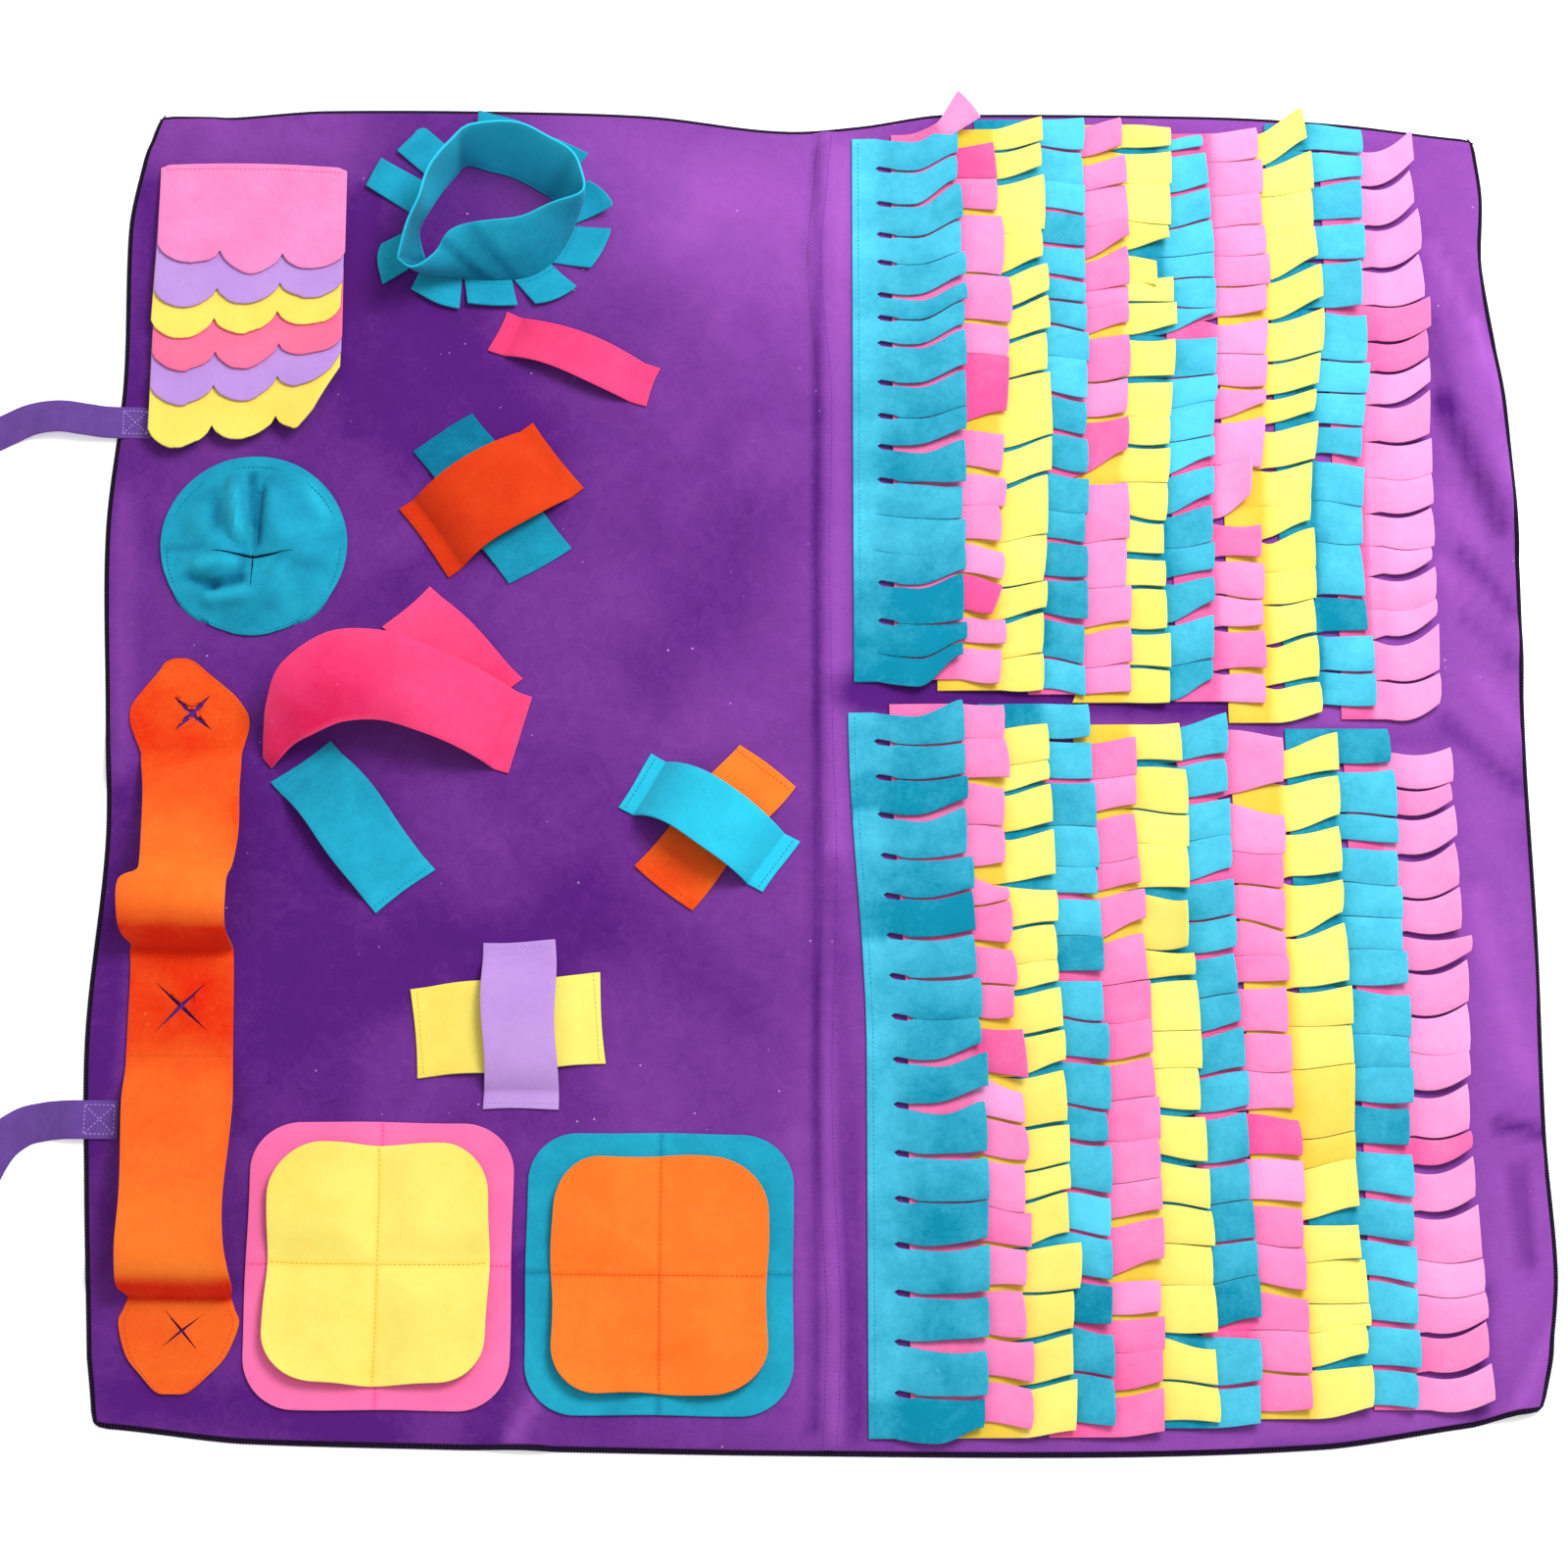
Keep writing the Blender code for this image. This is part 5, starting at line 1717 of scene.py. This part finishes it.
@dataclass
class Tie:
    """A webbing tie sewn on the mat's left edge, which lies down on the floor."""

    node: str
    width: float
    path: Sequence[Point]

    def spot(self, row: float, across: float) -> Point:
        """A point of the tie's underside.

        Args:
            row: The place down its path.
            across: The place across it, from -0.5 to 0.5.

        Returns:
            The place.
        """
        x, y, z = smooth_row(numbered(self.path), row)
        before = smooth_row(numbered(self.path), max(row - 0.05, 0))
        after = smooth_row(numbered(self.path), min(row + 0.05, len(self.path) - 1))
        run = Vector((after[0] - before[0], after[1] - before[1])).normalized()
        wide = self.width * across
        return x + run.y * wide, y - run.x * wide, max(z, 0)

    def build(self) -> None:
        """Makes the tie and its box seam."""
        last = len(self.path) - 1
        length = sum(math.dist(a, b) for a, b in zip(self.path, self.path[1:]))
        tape = Sheet(f"{self.node}_tape", self.node, TAPE, (self.width, length), 1.0, WEBBING_THICK,
                     rests_on=("fleece_top", "floor"), soft_edge=0.45)
        made = tape.add_grid(even_steps(-0.5, 0.5, 8), even_steps(last, 0, last * 8),
                             lambda across, row: self.spot(row, across), 0.6)
        for vert in made:
            across, row = vert[tape.run].x / MM, vert[tape.run].y / MM
            vert[tape.run] = Vector((across * self.width, row / last * length, 0)) * MM
        tape.shape.normal_update()
        if sum(face.normal.z for face in tape.shape.faces) < 0:
            bmesh.ops.reverse_faces(tape.shape, faces=tape.shape.faces[:])
        seam = Seam(f"{self.node}_box_seam", TAPE_THREAD, 3.0, 2.5, 0.5)
        x0, y0, z0 = self.path[0]
        half = self.width / 2 - 3.5
        z0 += WEBBING_THICK + 0.25
        a, b = (x0 - 3, y0 + half, z0), (x0 - 3, y0 - half, z0)
        c, d = (x0 - 3 - 2 * half, y0 - half, z0), (x0 - 3 - 2 * half, y0 + half, z0)
        seam.sew([a, b, c, d, a])
        seam.sew([a, c])
        seam.sew([b, d])
        tape.lay([seam.lay()])


# --- Studio ----------------------------------------------------------------------------------


@dataclass
class Studio:
    """The pale floor, the soft light and the camera."""

    lens: float = 103.37
    sensor: float = 36.0
    # Where the camera stands, and its three ways
    place: Point = (-0.134382, -1.102971, 3.07431)
    right: Point = (0.999392, 0.001435, 0.034839)
    up: Point = (-0.01285, 0.943985, 0.329737)
    ahead: Point = (0.032415, 0.329985, -0.94343)
    sky: float = 0.78
    key_place: Point = (1.1, 1.1, 2.4)
    key_size: float = 1.3
    key_power: float = 76.0

    def floor(self) -> None:
        """Lays the floor."""
        shape = bmesh.new()
        bmesh.ops.create_grid(shape, x_segments=1, y_segments=1, size=6)
        bmesh.ops.translate(shape, verts=shape.verts[:], vec=(0, 0, -GAP * MM))
        mesh = bpy.data.meshes.new("floor")
        shape.to_mesh(mesh)
        shape.free()
        material = bpy.data.materials.new("pale_floor")
        material.use_nodes = True
        graph = Graph(material.node_tree)
        spot = graph.add("ShaderNodeTexCoord").outputs["Object"]
        grain = graph.spread(graph.noise(spot, 3, 2), 0.3, 0.7)
        colour = graph.blend(grain, (0.93, 0.93, 0.935, 1), (0.96, 0.96, 0.96, 1))
        shader = graph.add("ShaderNodeBsdfPrincipled", {
            "Base Color": colour, "Roughness": 0.9, "Specular IOR Level": 0.1,
            "Emission Color": (1.0, 1.0, 1.0, 1.0), "Emission Strength": 0.3})
        graph.add("ShaderNodeOutputMaterial", {0: shader.outputs[0]})
        mesh.materials.append(material)
        floor = bpy.data.objects.new("floor", mesh)
        bpy.context.collection.objects.link(floor)

    def light(self) -> None:
        """Sets the sky's glow and the soft key light."""
        scene = bpy.context.scene
        world = scene.world or bpy.data.worlds.new("studio_sky")
        scene.world = world
        world.use_nodes = True
        graph = Graph(world.node_tree)
        sky = graph.add("ShaderNodeBackground", {0: (1.0, 0.99, 0.985, 1.0), 1: self.sky})
        graph.add("ShaderNodeOutputWorld", {0: sky.outputs[0]})
        lamp = bpy.data.lights.new("key_light", "AREA")
        lamp.shape = "SQUARE"
        lamp.size = self.key_size
        lamp.energy = self.key_power
        key = bpy.data.objects.new("key_light", lamp)
        key.location = self.key_place
        key.rotation_euler = Vector(self.key_place).to_track_quat("Z", "Y").to_euler()
        bpy.context.collection.objects.link(key)

    def camera(self) -> None:
        """Sets the camera."""
        eye = bpy.data.cameras.new("camera")
        eye.sensor_fit = "HORIZONTAL"
        eye.sensor_width = self.sensor
        eye.lens = self.lens
        eye.clip_start, eye.clip_end = 0.1, 50
        stand = bpy.data.objects.new("camera", eye)
        back = [-part for part in self.ahead]
        turn = Matrix((self.right, self.up, back)).transposed().to_4x4()
        stand.matrix_world = Matrix.Translation(self.place) @ turn
        bpy.context.collection.objects.link(stand)
        bpy.context.scene.camera = stand

    def build(self) -> None:
        """Sets up the studio."""
        self.floor()
        self.light()
        self.camera()
        bpy.context.scene.view_settings.view_transform = "Standard"


# --- The mat ---------------------------------------------------------------------------------


UPPER_SLITS = (
    ((491, 503, 0), (466, 476, 3), (437, 452, 3), (411, 421, 1.5), (388, 393, 0.8), (361, 371, 6),
     (342, 353, 1), (321, 332, 4), (289, 298, 4), (262, 266, 1), (237, 243, 8), (210, 204, 1),
     (182, 177, 0.4), (153, 155, 0.4), (128, 135, 3), (98, 96, 0.9), (72, 82, 0.3), (50, 72, 0)),
    ((495, 507, 0), (484, 487, 1), (458, 456, 0.6), (430, 427, 5), (378, 374, 1.5), (339, 334, 3),
     (312, 308, 0.3), (253, 254, 20), (218, 212, 6), (189, 187, 0.3), (161, 154, 9), (135, 127, 1),
     (104, 100, 5), (79, 76, 4), (52, 47, 0)),
    ((500, 508, 0), (481, 487, 2), (455, 463, 5), (412, 415, 0.3), (376, 388, 5), (348, 360, 3),
     (321, 330, 3), (291, 297, 1), (234, 245, 3), (204, 215, 3.5), (160, 165, 0.3), (124, 128, 1),
     (97, 105, 4), (68, 72, 0.3), (44, 44, 0)),
    ((509, 508, 0), (486, 480, 1.5), (458, 452, 0.3), (433, 427, 3), (404, 400, 3), (378, 372, 3),
     (358, 353, 1.5), (338, 330, 2), (312, 306, 0.4), (282, 273, 3), (251, 244, 4), (221, 213, 5),
     (188, 183, 0.3), (163, 158, 3), (133, 130, 3), (103, 96, 4), (70, 63, 1.5), (46, 40, 0)),
    ((502, 508, 0), (474, 481, 7), (448, 453, 0.4), (419, 424, 0.4), (390, 405, 9), (365, 369, 0.4),
     (351, 355, 0.3), (327, 333, 12), (290, 293, 1), (260, 263, 4), (212, 221, 26), (160, 163, 0.3),
     (125, 126, 0.5), (91, 96, 5), (62, 66, 0.3), (42, 43, 0)),
    ((506, 502, 0), (484, 484, 5), (456, 455, 0.4), (425, 421, 0.3), (398, 403, 14), (375, 377, 0.3),
     (357, 356, 1.5), (328, 331, 13), (293, 292, 5), (264, 262, 0.3), (240, 238, 2.5), (210, 208, 0.5),
     (183, 177, 3), (152, 149, 5), (126, 124, 2.5), (92, 91, 4), (64, 61, 2), (36, 35, 0)),
    ((492, 497, 0), (481, 484, 5), (447, 454, 3), (418, 426, 1), (395, 398, 0.8), (376, 377, 1),
     (354, 352, 1), (330, 337, 20), (295, 297, 1), (270, 276, 0.4), (243, 247, 0.8), (216, 226, 9),
     (184, 195, 9), (158, 162, 0.4), (132, 137, 6), (98, 109, 10), (65, 70, 0.4), (38, 54, 0)),
    ((500, 504, 0), (476, 478, 0.4), (447, 449, 0.3), (420, 421, 0.5), (397, 397, 0.3), (371, 372, 1),
     (343, 346, 7), (316, 313, 0.8), (289, 287, 2.5), (261, 269, 12), (225, 222, 0.5), (180, 184, 18),
     (150, 147, 4), (122, 117, 1), (95, 94, 4), (61, 60, 4), (38, 36, 0)),
    ((500, 516, 0), (472, 488, 9), (447, 453, 0.7), (415, 420, 0.3), (376, 392, 9), (343, 357, 10),
     (309, 317, 2), (281, 288, 4), (256, 264, 7), (222, 228, 3), (193, 200, 0.3), (165, 177, 5),
     (140, 144, 0.3), (114, 119, 1), (82, 90, 3), (50, 55, 4), (22, 30, 0)),
    ((510, 502, 0), (487, 482, 2), (458, 462, 4), (426, 427, 5), (394, 393, 4), (354, 352, 11),
     (313, 309, 1), (286, 283, 1), (259, 256, 3), (233, 227, 7), (198, 192, 0.3), (165, 162, 0.3),
     (122, 119, 2.5), (92, 92, 4), (63, 61, 1.5), (37, 35, 0)),
    ((487, 502, 0), (457, 473, 9), (423, 440, 4), (388, 402, 4), (358, 364, 1), (328, 338, 2),
     (303, 314, 2), (276, 290, 9), (246, 249, 2), (217, 220, 0.4), (188, 194, 3), (162, 161, 0.8),
     (138, 147, 5), (112, 118, 0.3), (88, 102, 7), (56, 62, 1.5), (26, 38, 0)),
)
UPPER_FADES = ((0.75, 0.05), (0.5, 0.7), (0.85, 0.7), (0.85, 0.25), (0.5, 0.6), (0.9, 0.65), (0.8, 0.4),
               (0.7, 0.75), (0.9, 0.65), (0.9, 0.7), (0.75, 0.8))
UPPER_TIPS = ((103, 104, 106, 103), (130, 135, 139, 132), (160, 167, 168, 165), (192, 195, 199, 198),
              (224, 226, 231, 228), (252, 254, 264, 264), (286, 288, 295, 291), (323, 324, 335, 333),
              (364, 362, 376, 371), (402, 400, 411, 410), (451, 452, 456, 447))
LOWER_SLITS = (
    ((26, 34, 0), (4, 2, 1), (-23, -24, 1), (-52, -46, 6), (-83, -84, 1.5), (-113, -111, 1.5),
     (-143, -143, 3), (-173, -175, 1.5), (-203, -206, 0.7), (-235, -229, 6), (-268, -262, 10),
     (-303, -306, 4), (-336, -339, 1), (-369, -369, 4), (-403, -406, 3.5), (-438, -441, 9),
     (-474, -478, 1.5), (-506, -499, 0)),
    ((33, 30, 0), (6, 4, 0.3), (-26, -30, 8), (-60, -63, 0.3), (-95, -99, 19), (-122, -118, 1),
     (-149, -153, 4), (-180, -183, 1), (-208, -209, 7), (-246, -254, 13), (-277, -284, 1.5),
     (-306, -311, 3), (-341, -347, 0.6), (-368, -373, 1.5), (-401, -402, 4), (-434, -438, 2.5),
     (-464, -470, 4), (-494, -500, 0)),
    ((14, 16, 0), (-14, -11, 0.5), (-36, -28, 3), (-68, -62, 6), (-105, -104, 12), (-138, -135, 2),
     (-165, -162, 0.3), (-186, -180, 4), (-218, -213, 2), (-248, -240, 8), (-286, -282, 2),
     (-317, -311, 1), (-339, -331, 2), (-372, -365, 9), (-404, -402, 1.5), (-438, -431, 4),
     (-470, -463, 3), (-505, -500, 0)),
    ((34, 30, 0), (6, 4, 1.5), (-25, -26, 3), (-60, -62, 0.4), (-90, -92, 0.4), (-113, -115, 4),
     (-143, -145, 0.4), (-173, -174, 7), (-203, -208, 1.5), (-234, -238, 4), (-267, -273, 1.5),
     (-293, -297, 3), (-329, -335, 3), (-358, -365, 2), (-392, -397, 5), (-424, -430, 8),
     (-459, -464, 1.5), (-493, -497, 0)),
    ((3, 8, 0), (-24, -21, 0.4), (-53, -48, 6), (-88, -84, 0.4), (-112, -106, 5), (-147, -136, 11),
     (-180, -176, 0.5), (-208, -204, 0.3), (-237, -231, 3), (-265, -262, 0.4), (-294, -292, 0.4),
     (-325, -321, 0.6), (-353, -347, 6), (-393, -387, 16), (-420, -418, 3), (-445, -442, 0.3),
     (-474, -468, 4), (-504, -500, 0)),
    ((19, 18, 0), (-11, -14, 5), (-46, -51, 1), (-72, -75, 0.3), (-108, -115, 16), (-152, -156, 0.8),
     (-176, -174, 3), (-213, -213, 0.5), (-241, -241, 0.5), (-271, -274, 5), (-305, -312, 5),
     (-338, -344, 1.5), (-367, -370, 0.5), (-397, -398, 0.3), (-432, -437, 12), (-464, -469, 1),
     (-492, -494, 0)),
    ((17, 27, 0), (-11, -6, 4), (-40, -36, 5), (-71, -66, 0.7), (-102, -95, 9), (-131, -127, 1),
     (-157, -153, 4), (-189, -185, 0.8), (-216, -208, 4), (-247, -241, 2), (-275, -270, 5),
     (-311, -307, 3), (-340, -336, 0.8), (-368, -364, 1.5), (-397, -390, 0.5), (-431, -428, 16),
     (-469, -466, 2), (-497, -494, 0)),
    ((16, 8, 0), (-37, -38, 26), (-77, -80, 0.4), (-102, -107, 1), (-129, -138, 1.5), (-156, -158, 0.3),
     (-178, -178, 5), (-213, -215, 1.5), (-241, -243, 0.3), (-271, -274, 9), (-304, -306, 3),
     (-337, -340, 4), (-366, -370, 0.4), (-397, -404, 6), (-428, -430, 0.6), (-457, -460, 1.5),
     (-485, -484, 0)),
    ((0, 13, 0), (-24, -18, 5), (-63, -54, 9), (-99, -97, 7), (-142, -128, 8), (-181, -177, 4),
     (-208, -207, 0.4), (-240, -236, 0.6), (-291, -285, 0.7), (-313, -306, 0.4), (-351, -347, 14),
     (-380, -378, 0.3), (-409, -409, 0.8), (-430, -425, 0.3), (-455, -449, 9), (-490, -482, 0)),
    ((18, 17, 0), (-12, -12, 6), (-47, -52, 1), (-70, -74, 6), (-99, -103, 0.7), (-125, -128, 0.7),
     (-150, -153, 0.3), (-178, -181, 9), (-213, -216, 0.3), (-238, -240, 0.3), (-264, -267, 3),
     (-296, -299, 6), (-330, -336, 5), (-361, -367, 3), (-390, -397, 3), (-422, -426, 4), (-454, -457, 3),
     (-480, -483, 0)),
    ((0, 4, 0), (-27, -24, 1.5), (-49, -40, 3), (-80, -68, 5), (-111, -103, 1.5), (-138, -137, 4),
     (-166, -154, 8), (-199, -190, 1.5), (-226, -226, 0.4), (-256, -247, 5), (-288, -284, 1),
     (-311, -300, 6), (-344, -335, 5), (-377, -376, 0.4), (-402, -400, 0.8), (-430, -420, 3),
     (-458, -449, 4), (-483, -477, 0)),
)
LOWER_FADES = ((0.55, 0.55), (0.5, 0.45), (0.75, 0.7), (0.65, 0.4), (0.5, 0.35), (0.8, 0.65), (0.7, 0.15),
               (0.5, 0.5), (0.85, 0.75), (0.6, 0.65), (0.7, 0.85))
LOWER_TIPS = ((112, 116, 108, 101), (142, 142, 136, 130), (172, 172, 167, 164), (200, 201, 199, 194),
              (235, 236, 230, 225), (273, 269, 264, 262), (303, 300, 295, 292), (338, 335, 331, 332),
              (380, 374, 375, 373), (413, 415, 416, 412), (462, 458, 460, 455))
TIE_PATHS = {
    "tie_upper": (25.0, ((-497, 247, SEAT_Z), (-528, 247, SEAT_Z + 0.6), (-545, 248, 7), (-565, 250, 8),
                         (-585, 248, 5), (-603, 241, 1), (-620, 233, 0), (-650, 224, 0), (-690, 219, 0))),
    "tie_lower": (28.0, ((-495, -285, SEAT_Z), (-526, -285, SEAT_Z + 0.2), (-538, -285, 1.5),
                         (-548, -286, 0), (-562, -290, 0), (-577, -302, 0), (-588, -322, 0),
                         (-598, -352, 0), (-606, -388, 0))),
}


def fringe_panels() -> list[FringePanel]:
    """The two panels of fringe, with the tongues that lie out of line."""
    upper = FringePanel(
        Side.UPPER, 3, UPPER_SLITS, UPPER_TIPS, (60, 200, 350, 490), UPPER_FADES,
        strays={(2, 1): Stray(-14, 16, 13, 2, -18, 40), (9, 1): Stray(-2, 2, 4, 1, -3, 6),
                (1, 17): Stray(-3, -4, 3, -1), (6, 4): Stray(-2, -3, 2, -1), (6, 5): Stray(-14, -8, 2, 2),
                (10, 5): Stray(-8, -3, 8, 3, 0, 4), (8, 11): Stray(-8, 5, 6, 2),
                (2, 12): Stray(-6, -3, 4, -2, 6), (11, 1): Stray(2, 0, 3, 1)},
        lights={(1, 12): 0.3, (1, 13): 0.35, (1, 14): 0.3, (2, 1): 0.4, (2, 2): -0.4, (2, 7): -0.6,
                (2, 12): -0.65, (4, 4): -0.35, (4, 9): 0.35, (4, 17): 0.5, (5, 10): -0.35, (7, 9): 0.3,
                (7, 10): 0.3, (7, 11): 0.3, (8, 12): -0.45, (8, 15): -0.35, (10, 3): -0.35,
                (10, 13): -0.6, (11, 5): -0.4, (11, 6): -0.45})
    lower = FringePanel(
        Side.LOWER, 8, LOWER_SLITS, LOWER_TIPS, (-470, -300, -150, 20), LOWER_FADES, first_tone=-0.2,
        strays={(4, 1): Stray(-2, 2, 3), (6, 1): Stray(-3, 0, 3), (2, 9): Stray(3, -3, 5, 2),
                (3, 14): Stray(6, 0, 3, 1), (6, 5): Stray(-4, 4, 4, 2), (11, 6): Stray(3, -2, 4, 2),
                (9, 4): Stray(-2, 0, 4, 2), (10, 10): Stray(3, 0, 4)},
        lights={(1, 3): -0.35, (1, 6): -0.45, (1, 17): -0.35, (2, 9): -0.45, (2, 10): 0.4,
                (4, 3): -0.3, (4, 7): -0.35, (4, 13): 0.35, (4, 15): -0.45, (5, 14): 0.3, (7, 16): 0.5,
                (7, 17): 0.5, (8, 2): 0.3, (8, 10): -0.4, (8, 11): 0.3, (9, 8): -0.4, (9, 9): -0.5,
                (10, 1): -0.4, (10, 11): -0.4, (11, 11): -0.5, (11, 16): -0.35})
    return [upper, lower]


def pads() -> list[Pad]:
    """The four rounded squares, the lower of each pair first."""
    return [
        Pad("pad_pink", (-310, -387), (92, 102), 0, 0.0, PAD_PINK, "fleece_top"),
        Pad("pad_yellow", (-311, -387), (77, 85), 1, 4.0, YELLOW, "pad_pink_felt"),
        Pad("pad_teal", (-115, -391), (93, 100), 0, 0.0, DEEP_TEAL, "fleece_top", tone=0.45),
        Pad("pad_orange", (-115, -393), (75, 84), 1, 4.0, ORANGE, "pad_teal_felt", tone=0.85),
    ]


def tunnels() -> list[Tunnel]:
    """The strips that are sewn flat at both ends."""
    return [
        Tunnel("cross_a_under", (-281.5, 243.5), -55.7, 129, 54, 2.5, DEEP_TEAL, (0.0, 0.3)),
        Tunnel("cross_a_over", (-294.5, 155), 35.8, 121, 66, 13, SHADED_ORANGE, (0.3, 0.5)),
        Tunnel("cross_b_under", (-305, 104.5), -45.8, 100, 48, 2.5, HOT_PINK, (0.7, 0.4)),
        Tunnel("cross_c_under", (-290.5, -219.5), 5.1, 134, 67, 2.5, YELLOW, (0.45, 0.7)),
        Tunnel("cross_c_over", (-214, -274.5), 92, 124, 52, 13, LILAC, (0.62, 0.5)),
        Tunnel("cross_d_under", (-115.5, -109.5), 51.9, 120, 52, 2.5, ORANGE, (0.3, 1.0)),
        Tunnel("cross_d_over", (-31, -93), 148, 124, 48, 27, DEEP_TEAL, (1.0, 0.8)),
        Tunnel("tunnel_e", (-377, -16.5), -52, 125, 54, 10, DEEP_TEAL, (0.35, 0.6)),
        Tunnel("tunnel_f", (-243.5, 327), -21, 125, 34, 10, HOT_PINK, (0.4, 0.6)),
    ]


def main() -> None:
    """Builds the studio and every piece of the mat."""
    logging.basicConfig(level=logging.INFO, format="%(message)s")
    Studio().build()
    Cloths().build()
    for node, (width, path) in TIE_PATHS.items():
        Tie(node, width, path).build()
    for panel in fringe_panels():
        panel.build()
    FlapStack().build()
    CrownRing().build()
    SlitDisc().build()
    ArchStrip().build()
    for pad in pads():
        pad.build()
    for tunnel in tunnels():
        tunnel.build()
    GatheredArch().build()


if __name__ == "__main__":
    main()
